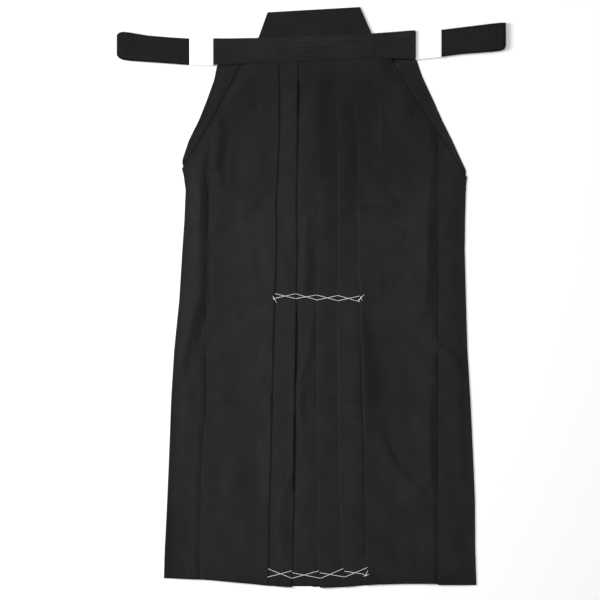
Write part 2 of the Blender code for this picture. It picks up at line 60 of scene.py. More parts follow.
# Level down the garment, then the outline's X on the wearer's right and left
OUTLINE = np.array([
    (391, -153.5, 173),
    (384, -156.5, 176.5),
    (360, -161.5, 187),
    (328, -173, 202),
    (294, -186.5, 217),
    (261, -203, 233.5),
    (228, -214, 248.5),
    (212, -214.5, 256),
    (201, -212, 258.5),
    (178, -209, 257),
    (128, -211, 255.5),
    (78, -214.5, 255),
    (-4, -219.5, 257),
    (-88, -228, 259.5),
    (-170, -233, 264.5),
    (-254, -236, 268.5),
    (-336, -239.5, 272),
    (-420, -243.5, 272.5),
    (-478, -245, 274.5),
])
# X across the back's top edge, then its level there
BACK_TOP = {
    "right": np.array([(-160, 390.5), (0, 390.5)]),
    "left": np.array([(0, 390.5), (121.7, 390.5), (124, 396.5), (175, 396.5)]),
}
# X across the hem, then its level there
HEM = {
    "right": np.array([
        (-244.5, -466),
        (-178, -468.5),
        (-105, -475),
        (-72, -478.5),
        (-33.5, -481),
    ]),
    "left": np.array([
        (14.5, -482),
        (52.5, -481),
        (81, -478.5),
        (111, -476.5),
        (147.5, -475.5),
        (207, -475.5),
        (212, -477.5),
        (274.5, -477.5),
    ]),
}


def along(table, key, column):
    """A table's column read at each key, straight between its rows; the table's keys may fall."""
    order = np.argsort(table[:, 0])
    return np.interp(key, table[order, 0], table[order, column])


def eased(value):
    """Soft step: 3 v squared minus 2 v cubed, with v held from 0 to 1."""
    held = np.clip(value, 0.0, 1.0)
    return held * held * (3.0 - 2.0 * held)


def near_hem(rows):
    """Soft step down a grid's rows: 0 above the last tenth and 1 at the hem."""
    return eased((np.linspace(0.0, 1.0, rows)[:, None] - 1.0 + HEM_SHARE) / HEM_SHARE)


def levels_to_hem(top, rows, hem, x):
    """Each row's level: evenly from the top down, drawn near the end to the hem's level at that X."""
    flat = top + np.linspace(0.0, 1.0, rows)[:, None] * (HEM_LEVEL - top)
    return flat + (along(hem, x, 1) - HEM_LEVEL) * near_hem(rows)


class Wire:
    """One output socket of a material, with the operators that the cloth's shader maths uses."""

    def __init__(self, tree, socket):
        self.tree = tree
        self.socket = socket

    def node(self, kind, settings=None, **values):
        """Add a node: its settings first, then values or links for its inputs. Gives its first output."""
        made = self.tree.nodes.new(kind)
        for name, value in (settings or {}).items():
            setattr(made, name, value)
        for name, value in values.items():
            place = made.inputs[int(name[1:])] if name[1:].isdigit() else made.inputs[name]
            if isinstance(value, Wire):
                self.tree.links.new(value.socket, place)
            else:
                place.default_value = value
        return Wire(self.tree, made.outputs[0])

    def output(self, name):
        """Another output of this wire's node."""
        return Wire(self.tree, self.socket.node.outputs[name])

    def maths(self, operation, *values):
        """A Math node on the values or wires given, or on this wire alone."""
        inputs = {f"i{number}": value for number, value in enumerate(values or (self,))}
        return self.node("ShaderNodeMath", {"operation": operation}, **inputs)

    def __add__(self, other):
        return self.maths("ADD", self, other)

    def __radd__(self, other):
        return self.maths("ADD", other, self)

    def __mul__(self, other):
        return self.maths("MULTIPLY", self, other)

    def __rmul__(self, other):
        return self.maths("MULTIPLY", other, self)


WARP_PITCH = 0.0009
WEFT_PITCH = 0.0011
SLUB_SCALE = (900.0, 45.0, 1.0)
MOTTLE_SCALE = (34.0, 21.0, 1.0)
CLOTH_ROUGHNESS = 0.82
WEAVE_DEPTH = 0.0004


def cloth_material(name, colour, grain=1.0, toned=False):
    """Plain-woven cloth: crossed threads and uneven slubs as bump, and a faint mottle in its tone.

    The weave is sine of warp times sine of weft. A toned cloth also reads the mesh's own tone, which holds
    painted shade and light at its folds, creases, gaps and edges, and its nap.
    """
    material = bpy.data.materials.new(name)
    material.use_nodes = True
    tree = material.node_tree
    shader = tree.nodes["Principled BSDF"]
    start = Wire(tree, None).node("ShaderNodeUVMap", {"uv_map": "cut"})
    apart = start.node("ShaderNodeSeparateXYZ", i0=start)
    warp = (apart.output("X") * (2 * math.pi / WARP_PITCH)).maths("SINE")
    weft = (apart.output("Y") * (2 * math.pi / WEFT_PITCH)).maths("SINE")
    drawn = start.node("ShaderNodeMapping", i0=start, Scale=SLUB_SCALE)
    slubs = start.node("ShaderNodeTexNoise", i0=drawn, Scale=1.0, Detail=2.0)
    broad = start.node("ShaderNodeMapping", i0=start, Scale=MOTTLE_SCALE)
    mottle = start.node("ShaderNodeTexNoise", i0=broad, Scale=1.0, Detail=4.0)
    height = warp * weft * 0.35 + slubs * 1.1 + mottle * 1.6
    tone = mottle * 0.8 + slubs * 0.4 + 0.4
    if toned:
        tone = tone * start.node("ShaderNodeAttribute", {"attribute_name": "tone"}).output("Fac")
    dyed = start.node("ShaderNodeVectorMath", {"operation": "SCALE"}, i0=colour[:3], Scale=tone)
    bump = start.node("ShaderNodeBump", Strength=0.35 * grain, Distance=WEAVE_DEPTH, Height=height)
    tree.links.new(dyed.socket, shader.inputs["Base Color"])
    tree.links.new(bump.socket, shader.inputs["Normal"])
    shader.inputs["Roughness"].default_value = CLOTH_ROUGHNESS
    shader.inputs["Specular IOR Level"].default_value = 0.12
    shader.inputs["Sheen Weight"].default_value = 0.03
    shader.inputs["Sheen Roughness"].default_value = 0.5
    return material


def add_mesh(name, points, faces, material, cut=None, flat=0):
    """A mesh from points in millimetres and four-sided faces, with its flat cut kept as a UV map.

    It is smooth, apart from the last faces, whose number flat gives.
    """
    mesh = bpy.data.meshes.new(name)
    mesh.vertices.add(len(points))
    mesh.vertices.foreach_set("co", (points * MM).astype(np.float32).ravel())
    mesh.loops.add(faces.size)
    mesh.loops.foreach_set("vertex_index", faces.astype(np.int32).ravel())
    mesh.polygons.add(len(faces))
    starts = np.arange(len(faces), dtype=np.int32) * faces.shape[1]
    mesh.polygons.foreach_set("loop_start", starts)
    mesh.update(calc_edges=True)
    mesh.polygons.foreach_set("use_smooth", np.arange(len(faces)) < len(faces) - flat)
    if cut is not None:
        layer = mesh.uv_layers.new(name="cut")
        layer.uv.foreach_set("vector", (cut[faces.ravel()] * MM).astype(np.float32).ravel())
    mesh.materials.append(material)
    mesh.validate()
    item = bpy.data.objects.new(name, mesh)
    bpy.context.scene.collection.objects.link(item)
    return item


def add_shell(name, middle, material, thickness=CLOTH, closed=False):
    """Cloth with two faces: a grid's middle surface moved half a thickness along its normals both ways.

    The normals are the cross product of the grid's two gradients, and the edges taper so that they look
    rolled. A closed grid joins its last column to its first. The cut is the length run across each row
    and the length run down the first column.
    """
    rows, columns = middle.shape[:2]
    if closed:
        wide = np.concatenate([middle[:, -1:], middle, middle[:, :1]], axis=1)
        sideways = np.gradient(wide, axis=1)[:, 1:-1]
    else:
        sideways = np.gradient(middle, axis=1)
    downwards = np.gradient(middle, axis=0)
    normal = np.cross(sideways, downwards)
    normal /= np.maximum(np.linalg.norm(normal, axis=2, keepdims=True), 1e-9)
    half = np.full((rows, columns, 1), thickness / 2)
    half[[0, -1]] *= EDGE_TAPER
    if not closed:
        half[:, [0, -1]] *= EDGE_TAPER
    points = np.concatenate([middle + normal * half, middle - normal * half]).reshape(-1, 3)
    shift = rows * columns
    top = np.arange(shift).reshape(rows, columns)
    right = np.roll(top, -1, axis=1) if closed else top[:, 1:]
    left = top if closed else top[:, :-1]
    corners = [
        (left[:-1], right[:-1], right[1:], left[1:]),
        (left[:-1] + shift, left[1:] + shift, right[1:] + shift, right[:-1] + shift),
        (left[0], left[0] + shift, right[0] + shift, right[0]),
        (right[-1], right[-1] + shift, left[-1] + shift, left[-1]),
    ]
    if not closed:
        corners.append((top[:-1, 0], top[1:, 0], top[1:, 0] + shift, top[:-1, 0] + shift))
        corners.append((top[:-1, -1], top[:-1, -1] + shift, top[1:, -1] + shift, top[1:, -1]))
    faces = np.concatenate([np.stack(four, axis=-1).reshape(-1, 4) for four in corners])
    walls = sum(four[0].size for four in corners[2:])
    run = np.zeros((rows, columns))
    run[:, 1:] = np.cumsum(np.linalg.norm(np.diff(middle, axis=1), axis=2), axis=1)
    drop = np.zeros((rows, 1))
    drop[1:, 0] = np.cumsum(np.linalg.norm(np.diff(middle[:, 0], axis=0), axis=1))
    cut = np.stack(np.broadcast_arrays(run, drop), axis=2).reshape(-1, 2)
    return add_mesh(name, points, faces, material, np.concatenate([cut, cut]), walls)


def side_of(table, level, side):
    """One side's column of a table with both sides in it, as a distance from the middle."""
    return np.abs(along(table, level, 1 if side == "right" else 2))


def finish_cloth(item, node):
    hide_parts(node)
    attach(item, "root")


def back_surface(side):
    """Flat on the ground: X runs from the centre seam to the outer edge, with columns closer out there.

    Z is half the cloth, plus the turned hem's rise beside the slit.
    """
    sign = -1.0 if side == "right" else 1.0
    top = BACK_TOP[side]
    slit_end = SLIT_END[side]
    share = np.linspace(0.0, 1.0, BACK_ROWS)[:, None]
    level = top[0, 1] + share * (HEM_LEVEL - top[0, 1])
    edge = side_of(OUTLINE, level, side)
    edge = edge - SIDE_INSET * eased((slit_end + 6.0 - level) / 6.0)
    centre = sign * CENTRE_BACK + GAP / 2
    across = np.linspace(0.0, 1.0, BACK_COLUMNS)[None, :] ** SPREAD
    x = sign * (centre + across * (edge - centre))
    y = levels_to_hem(top[0, 1], BACK_ROWS, HEM[side], x)
    y = y + HEM_LIFT * eased((share - 1.0 + EDGE_SHARE) / EDGE_SHARE)
    y = y + (along(top, x, 1) - top[0, 1]) * eased(1.0 - share / EDGE_SHARE)
    turned = eased((HEM_TURN - edge + np.abs(x)) / 0.8) * eased((level - slit_end) / 4.0)
    z = CLOTH / 2 + HEM_TURN_RISE * turned
    surface = np.stack(np.broadcast_arrays(x, y, z), axis=2)
    return surface if side == "left" else surface[:, ::-1]


# Painted shade and light, with nap that differs at random: the cloth is made darker in creases, grooves,
# gaps, rolls and under the band, and paler where shadows fall. Each row: both ends of a line, how much
# more or less light, then the half width, at each end where they differ
TONES = [
    # painted shade under the band and over the strips between the left folds, which tilt away from the
    # light
    (-120, 376, 150, 376, -0.24, 62),
    (10, 262, 175, 225, -0.11, 62),
    (-175, 285, -130, 312, -0.13, 34),
    (62, 300, 62, 180, -0.20, 18),
    (95, 350, 92, 170, -0.13, 16),
    (60, 330, 62, 150, -0.09, 40),
    (57, 388, 57, 335, 0.12, 6),
    (64, 60, 64, -330, 0.10, 13),
    (-18, -40, -18, -330, 0.06, 14),
    (64, -20, 64, -70, 0.07, 12),
    (186, 345, 214, 285, -0.16, 20),
    (40, 130, 50, 60, -0.10, 26),
    (100, 330, 150, 250, -0.10, 34),
    (110, 230, 170, 190, -0.08, 30),
    (-100, 330, -95, 190, -0.10, 34),
    (-112, 375, -96, 320, -0.09, 10),
    (-180, 290, -178, 200, -0.16, 30),
    (165, 320, 200, 255, -0.16, 24),
    (-6, 382, -2, 356, -0.15, 8),
    # the pleated right width: painted shade along its roll and seam, and paler and darker patches
    (-110, 120, -112, -90, 0.08, 45),
    (-85, 140, -82, 70, 0.05, 18),
    (-75, 90, -78, -330, 0.20, 12),
    (-97, 110, -98, -200, 0.07, 22),
    (-150, 330, -150, 150, -0.08, 22),
    (-220, -360, -222, -470, -0.15, 18),
    (-210, -446, -210, -462, -0.25, 2),
    (-200, -448, -200, -462, -0.25, 2),
    (-148, 288, -153, 215, -0.25, 7, 8),
    (-205, 60, -205, 30, -0.06, 12),
    (-178, 190, -178, -30, -0.16, 6),
    (-184, -15, -214, -115, -0.17, 8, 10),
    (-180, -15, -190, -50, -0.12, 8, 9),
    (-177, -115, -177, -186, -0.10, 4),
    (-238, -150, -242, -470, -0.22, 20),
    # painted shade and light at the crinkle across the strip, and painted shade in the grooves beside the
    # left folds
    (-18, 139, 6, 131, -0.14, 2.5),
    (-16, 147, 4, 139, 0.08, 2.5),
    (78.2, -10, 80.7, -88, -0.25, 1.6),
    (81.2, -88, 86.2, -254, -0.42, 2.2),
    (86.2, -254, 88.1, -430, -0.42, 2.2),
    (41.5, -170, 48, -420, -0.14, 1.3),
    (40.2, 388, 43.5, 260, -0.12, 2),
    (71.5, 388, 77, 260, -0.07, 2),
    # painted shade on the low centre strip
    (0, 70, -4, 14, -0.18, 6),
    (2, -50, -6, -108, -0.18, 5),
    (-15, -165, -14, -200, -0.15, 6),
    (-46, -330, -44, -410, -0.10, 8),
    # the pleated left width: painted shade and light along its creases, rolls and seam, and paler patches
    (150, 105, 150, 20, 0.05, 30),
    (124, 166, 145, 158, -0.13, 5),
    (84, 160, 134, 156, 0.10, 3.5),
    (86, 148, 128, 142, -0.11, 5),
    (86, 133, 112, 130, 0.06, 4),
    (112, 128, 141, 108, -0.11, 5),
    (118, -208, 128, -262, -0.12, 7),
    (131, -268, 158, -296, -0.12, 7),
    (158, -296, 194, -330, -0.08, 8),
    (145, -20, 168, -130, 0.08, 20),
    (125, -290, 150, -330, 0.05, 20),
    (90, 60, 90, 0, -0.08, 10),
    (85, -27, 112, -168, -0.33, 5, 24),
    (98, 0, 104, -470, -0.13, 14),
    (140, -410, 190, -470, -0.10, 34),
    (201, 140, 201, 0, -0.16, 7.5),
    (203, 270, 204, 190, -0.10, 5),
    (203, -150, 204, -300, -0.12, 4.5),
    (197, -100, 196, -460, -0.12, 11),
    (208.5, -95, 208.5, -470, -0.15, 2.5),
    # the outer left width and the hem
    (236, 190, 242, -460, -0.13, 24),
    (232, -85, 250, -105, -0.10, 8),
    (-200, -476, 260, -476, -0.22, 17),
    (-240, -320, -240, -470, -0.12, 12),
    # the shade under the second right fold where it gapes
    (-22.3, 356, -22.2, 305, -0.8, 1.5),
    (-25, -24, -25.8, -140, -0.8, 1.6),
    (-27.4, -195, -28.3, -320, -0.8, 1.7),
    # the waistband's darker end
    (100, 422, 172, 418, -0.17, 26),
    # the straps' edges, in shade
    (-319, 397, -300, 391.5, -0.75, 3.6, 3.4),
    (-300, 391.5, -201, 384.5, -0.7, 3.2, 2.4),
    (-314, 441, -262, 433, -0.65, 2.6, 2.2),
    (-262, 433, -201, 429, -0.6, 2.2, 1.8),
    (-201.5, 386, -201.5, 428, -0.5, 2),
    (-304, 414, -312, 414, -0.10, 8),
    (-295, 415, -230, 411, -0.12, 20),
    (240, 428, 300, 434, 0.14, 26),
    (216, 443.5, 320, 456, -0.65, 2.2, 2.3),
    (216, 398.5, 320, 410, -0.7, 2.4),
    (322.5, 415, 322.5, 454, -0.8, 3.6),
    (216, 399, 216, 443, -0.6, 2),
    # painted light on the cloth close under the waistband's ends, which pales the shadow that falls there
    (-156, 384, -118, 386, 0.4, 1.6),
    (142, 394, 171, 392.5, 0.4, 1.6),
    (137, 392, 143, 380, 0.4, 3),
    # the shade of the right side opening's turned edge
    (-119, 382, -135, 352, -0.75, 1.3),
    (-135, 352, -170, 287, -0.75, 1.3),
    (-170, 287, -213, 217, -0.65, 1.3),
]


def near_line(x, y, ends, first, last):
    """Nearness to a line: e to the minus (distance over the line's width there) squared.

    The width runs evenly from first at one end to last at the other.
    """
    x0, y0, x1, y1 = ends
    length = (x1 - x0) ** 2 + (y1 - y0) ** 2
    part = np.clip(((x - x0) * (x1 - x0) + (y - y0) * (y1 - y0)) / length, 0.0, 1.0)
    far = (x - x0 - part * (x1 - x0)) ** 2 + (y - y0 - part * (y1 - y0)) ** 2
    return np.exp(-far / (first + part * (last - first)) ** 2)


def add_tone(item, table=TONES):
    """Keep at each of a mesh's points its tone of painted shade, painted light and nap: 1 plus each row's
    amount times its nearness.
    """
    points = np.empty(len(item.data.vertices) * 3, dtype=np.float32)
    item.data.vertices.foreach_get("co", points)
    x, y = points.reshape(-1, 3)[:, :2].T / MM
    tone = np.ones(len(x))
    for *ends, amount, first, last in (row if len(row) == 7 else (*row, row[-1]) for row in table):
        tone += amount * near_line(x, y, ends, first, last)
    layer = item.data.attributes.new("tone", "FLOAT", "POINT")
    layer.data.foreach_set("value", np.clip(tone, 0.2, 1.4).astype(np.float32))


back_cloth = cloth_material("back cloth", CLOTH_COLOUR, toned=True)
back_items = {}
for side in ("right", "left"):
    item = add_shell("back_leg_" + side, back_surface(side)[::-1], back_cloth)
    # painted shade and light from the tone table, such as the shade beside the right side opening's edge
    add_tone(item)
    finish_cloth(item, "back_" + side)
    back_items[side] = item

# The pleated front widths: black cloth pressed into knife pleats, two facing the wearer's left on one
# side and three facing them on the other. Each fold turns under and runs back before the next strip.
WAIST_LEVEL = 407.0
SEAM_GAP = 0.03
# The layers: how far apart, how deep the pleats are, and how the ramps rise to the top layer
PITCH = 0.6
SIDE_DEPTH = 28.0
SHALLOWER = 24.0
MARGIN = 1.0
RISE_LENGTH = 60.0
STRIP_LIFT = 2.5
RETURN_LIFT = 1.2
# Beside a side opening the cloth lies lower
SLIT_HEIGHT = 0.95
SLIT_REACH = 30.0
SETTLE_FROM = {"right": 390.0, "left": 394.0}
SETTLE_LENGTH = 7.0
# The grid, its columns closer together towards a fold's edge
FRONT_ROWS = 300
RUN_COLUMNS = 74
RUN_SPREAD = 1.25
TURN_COLUMNS = 6
STRIP_COLUMNS = 20
STRIP_SPREAD = 1.6
CENTRE_COLUMNS = 20
# How far the cloth puffs up, and how fast it comes down at a seam, an edge, the band and a fold
PUFF = 1.3
STRIP_PUFF = 0.5
CENTRE_PUFF = 0.9
LEAST_HEIGHT = -0.15
EDGE_ROOM = 14.0
STRIP_ROOM = 20.0
SEWN_REACH = 20.0
GAPE_REACH = 16.0
BAND_HOLD = 380.0
HOLD_LENGTH = 60.0
FOLD_FALL = 2.8
FOLD_LIP = 0.2
FOLD_LIP_WIDTH = 1.3
FACET_FADE = 12.0
# The cloth's own unevenness
RUMPLE_SEED = 7
RUMPLE_WAVES = 14
RUMPLE_STEEPNESS = 0.0011

# Level, then how far the first front layer stands above the ground
BASE = np.array(
    [(407, 4.6), (386, 4.6), (374, 3.9), (356, 2.6), (336, 1.5), (230, 1.4), (190, 1.3), (-478, 1.3)]
)
# Level, then the five pleats' visible edges from the wearer's right to left
PLEATS = np.array([
    (407, -54.5, -23, 3.5, 38.5, 71),
    (390, -54.5, -23, 3.5, 38.5, 71),
    (336, -53, -21, 6, 40.5, 72),
    (278, -53, -23, 8.5, 42.5, 76),
    (220, -55, -23.5, 9.5, 43.5, 77.5),
    (145, -58.5, -24.5, 10.5, 44.5, 78),
    (78, -57.5, -23.5, 9.5, 44.5, 78.5),
    (-4, -60.5, -25, 8.5, 43.5, 80),
    (-88, -63, -25.5, 9, 43.5, 82.5),
    (-170, -65, -28, 9.5, 43.5, 84.5),
    (-254, -66.5, -28.5, 10, 45, 87.5),
    (-336, -69.5, -28.5, 10.5, 47.5, 89),
    (-420, -70, -30.5, 9.5, 50, 89.5),
    (-478, -72, -32, 14.5, 52.5, 90),
])
# Level, then the slanted front edges at the side openings on the right and left
SLIT_EDGE = np.array([
    (407, -108, 128.5),
    (389, -113.5, 135.5),
    (351, -134, 157.5),
    (321, -150, 177),
    (286, -169.5, 200.5),
    (268, -179.5, 212),
    (244, -195, 227.5),
    (219, -211, 245),
    (204, -214, 255.5),
    (190, -216, 262),
])
# Level, then the seams between the pleated widths and the outer widths on the right and left
SEAM = np.array([
    (407, -176.5, 209.5),
    (222, -176.5, 209.5),
    (148, -168.5, 208),
    (95, -172.5, 209.5),
    (9, -174.5, 210),
    (-187, -174.5, 210.5),
    (-220, -179, 210.5),
    (-300, -183, 210),
    (-478, -184.5, 209.5),
])

# Level, then how far the second fold on the right gapes open
GAPE = np.array(
    [(370, 0), (345, 0.9), (260, 0.9), (235, 0), (-4, 0), (-40, 1.2), (-250, 1.5), (-320, 0)]
)

# Soft ridges and troughs of the front: both ends, height, half width
CREASES = np.array([
    # outer right width
    (-205, 150, -214, -20, 0.5, 12),
    (-206, -150, -214, -400, 1.2, 12),
    (-236, -380, -232, -460, -0.9, 13),
    (-210, -446, -210, -462, -0.5, 2.4),
    (-200, -448, -200, -462, -0.5, 2.4),
    # pleated right width
    (-158, 160, -160, -20, 1, 14),
    (-92, 362, -91, 310, -0.8, 7),
    (-110, 150, -66, 158, 1, 6),
    (-110, 200, -106, 60, 0.5, 12),
    (-132, -31, -134, -97, -0.5, 7),
    (-100, 60, -92, -60, 0.6, 16),
    (-160, -118, -158, -136, -0.8, 8),
    (-172, -150, -65, -150, -1, 2.6),
    (-150, -166, -66, -169, 1.7, 6),
    (-84, -169, -69, -171, -0.9, 1.4),
    (-106, -210, -74, -211, -0.9, 4),
    (-80, -80, -80, -135, 0.9, 9),
    (-81, -225, -83, -262, 0.5, 6),
    (-145, -265, -86, -266, -0.8, 5),
    (-130, -240, -145, -410, 1.1, 16),
    # low centre strip
    (-20, 141, 8, 131, -1, 2.2),
    (-18, 148, 6, 139, 0.7, 3),
    (-12, 335, -12, 300, -0.5, 4),
    (-4, -385, -4, -400, 0.8, 6),
    # strips between the left folds
    (10, -166, 80, -169, 0.9, 4),
    (8, -174, 81, -181, -0.9, 2.6),
    (8, -196, 85, -208, -0.9, 2.6),
    (27, 330, 30, 290, -0.4, 6),
    # pleated left width
    (162, 327, 171, 306, -1, 7),
    (117, 315, 117, 245, 0.6, 4),
    (127, 177, 146, 160, -1.6, 6),
    (163, 192, 160, 150, -0.6, 8),
    (150, 115, 155, 30, 0.7, 14),
    (113, 60, 112, 10, 0.5, 6),
    (160, -235, 188, -280, 0.9, 9),
    (174, -438, 174, -458, -0.9, 2),
    (110, -330, 122, -430, 0.8, 14),
    (150, -350, 160, -430, 0.7, 10),
    # outer left width
    (226, 120, 232, 20, 0.7, 8),
    (213, 138, 240, 138, 1, 4),
    (244, 120, 250, -300, 1, 11),
    (236, -360, 240, -460, 0.6, 8),
])
# Folds that roll over: both ends, height, how far each side runs down to nothing, then how round the
# second side is, 1 for straight and 2 for a quarter circle. Lines run down or to the right, and the
# first side is on their left or below them
FACETS = np.array([
    # the outer right width rolls over towards its seam, then swings away from it
    (-180, 228, -184, 180, 2.2, 26, 9, 1.6),
    (-185, 180, -186, 0, 4.4, 34, 14.5, 1.6),
    (-186, 0, -206, -66, 3.8, 26, 19, 1.3),
    (-206, -66, -219, -116, 2.4, 18, 13, 1.2),
    (-184, -108, -184, -192, 2.2, 22, 10, 1.6),
    (-188, -212, -193, -300, 1.6, 20, 9, 1.4),
    (-193, -300, -195, -465, 1.5, 20, 8, 1.4),
    # the pleated right width, by the side opening and under the band
    (-156, 292, -150, 268, 1.8, 12, 8, 1.5),
    (-150, 268, -160, 226, 2.6, 14, 13, 1.5),
    (-160, 226, -154, 192, 2.2, 14, 10, 1.5),
    (-132, 250, -136, 190, 1, 10, 16, 1),
    (-98, 383, -96, 345, 1, 14, 14, 1),
    # the strip between the two right folds
    (-36, -300, -52, -340, 1.2, 6, 14, 1),
    (-52, -340, -56, -385, 1.4, 6, 18, 1),
    (-56, -385, -50, -425, 1, 6, 16, 1),
    # the low centre strip
    (-8, 122, -11, 80, 1.3, 8, 9, 1.4),
    (-11, 80, -14, 40, 2.4, 10, 15, 1.4),
    (-14, 40, -15, 12, 2, 8, 17, 1.4),
    (3, -34, -3, -85, 1.7, 9, 8, 1.4),
    (-3, -85, -12, -115, 2, 8, 13, 1.4),
    (-12, -115, -24, -143, 1.7, 6, 9, 1.4),
    (-22, -160, -22, -204, 1.7, 3, 14, 1),
    # the pleated left width
    (113, 368, 160, 338, 1.8, 14, 12, 1),
    (84, 156, 138, 156, 1.5, 6, 9, 1),
    (84, 139, 120, 137, 1.3, 6, 6, 1),
    (86, 133, 142, 108, 2.2, 13, 11, 1),
    (83, -20, 86, -60, 0.6, 30, 14, 1),
    (86, -60, 88, -110, 1, 30, 28, 1),
    (88, -110, 91, -165, 1.4, 30, 42, 1),
    (91, -165, 92, -205, 1.3, 30, 38, 1),
    (90, -218, 120, -241, 2.2, 14, 9, 1),
    (120, -241, 136, -273, 2.4, 16, 9, 1),
    (136, -273, 161, -302, 2.2, 16, 9, 1),
    (161, -302, 198, -331, 1.7, 14, 8, 1),
    (203, 266, 200, 205, 1.8, 26, 7.5, 1),
    (199, 200, 196, 158, 2.8, 30, 13, 1),
    (193, 142, 191, 20, 4.6, 38, 18, 1),
    (191, 20, 187, -18, 4, 34, 21, 1.2),
    (203, -38, 203, -76, 1.5, 22, 7, 1),
    (203, -104, 202, -140, 1.6, 20, 7, 1),
    (202, -140, 196, -205, 2.6, 26, 13, 1),
    (196, -205, 199, -300, 2.6, 26, 10.5, 1),
    (201, -300, 203, -470, 1.6, 22, 6.5, 1),
    # the outer left width
    (212, 157, 246, 156, 1.7, 7, 9, 1),
    (210, -78, 250, -122, 2.7, 14, 13, 1),
    (212, -168, 262, -178, 1.1, 6, 6, 1),
])


def faceted(x, y):
    """The greatest, over the folds, of height times its fall with u, the distance over that side's reach.

    The first side falls as (1 - u) to the 1.15. The second falls as 1 less u to the roll, to the power of
    1 over the roll's root. Past its ends a fold fades as e to the minus (distance over its fade) squared.
    """
    total = np.zeros(np.broadcast(x, y).shape)
    for x0, y0, x1, y1, height, first, second, roll in FACETS:
        length = math.hypot(x1 - x0, y1 - y0)
        ahead = ((x - x0) * (x1 - x0) + (y - y0) * (y1 - y0)) / length
        aside = ((y - y0) * (x1 - x0) - (x - x0) * (y1 - y0)) / length
        beyond = np.maximum(np.maximum(-ahead, ahead - length), 0.0)
        part = np.clip(np.abs(aside) / np.where(aside < 0, first, second), 0.0, 1.0)
        fall = np.where(aside < 0, (1.0 - part) ** 1.15, (1.0 - part**roll) ** roll**-0.5)
        total = np.maximum(total, height * fall * np.exp(-((beyond / FACET_FADE) ** 2)))
    return total


def rumple(x, y):
    """Faint unevenness of laid cloth: a few long waves of random heading and phase added together."""
    draw = np.random.default_rng(RUMPLE_SEED)
    total = np.zeros(np.broadcast(x, y).shape)
    for _ in range(RUMPLE_WAVES):
        heading = draw.uniform(0.0, math.pi)
        length = draw.uniform(28.0, 90.0)
        phase = draw.uniform(0.0, 2 * math.pi)
        part = x * math.cos(heading) + y * math.sin(heading) * 0.6
        total = total + length * np.sin(part * 2 * math.pi / length + phase)
    return total * RUMPLE_STEEPNESS


def soft_height(x, y):
    """All that the front's soft form adds: its creases one on another, its rolled folds and its rumple."""
    total = np.zeros(np.broadcast(x, y).shape)
    for *ends, height, width in CREASES:
        total = total + height * near_line(x, y, ends, width, width)
    return np.maximum(total + faceted(x, y) + rumple(x, y), LEAST_HEIGHT - 1.0)


def front_edge(level, side):
    """A pleated width's outer edge: the slit's slant, and the seam below where they meet."""
    slant = side_of(SLIT_EDGE, level, side)
    seam = side_of(SEAM, level, side) - SEAM_GAP / 2
    return np.minimum(slant, seam)


def turn_columns(edge, upper, lower, facing):
    """Half a circle from an upper layer to a lower one, its outside touching the fold's edge."""
    radius = (upper - lower) / 2
    angle = np.radians(np.linspace(90.0, -90.0, TURN_COLUMNS))[None, :]
    x = edge - facing * (CLOTH / 2 + radius) + facing * radius * np.cos(angle)
    return x, (upper + lower) / 2 + radius * np.sin(angle)


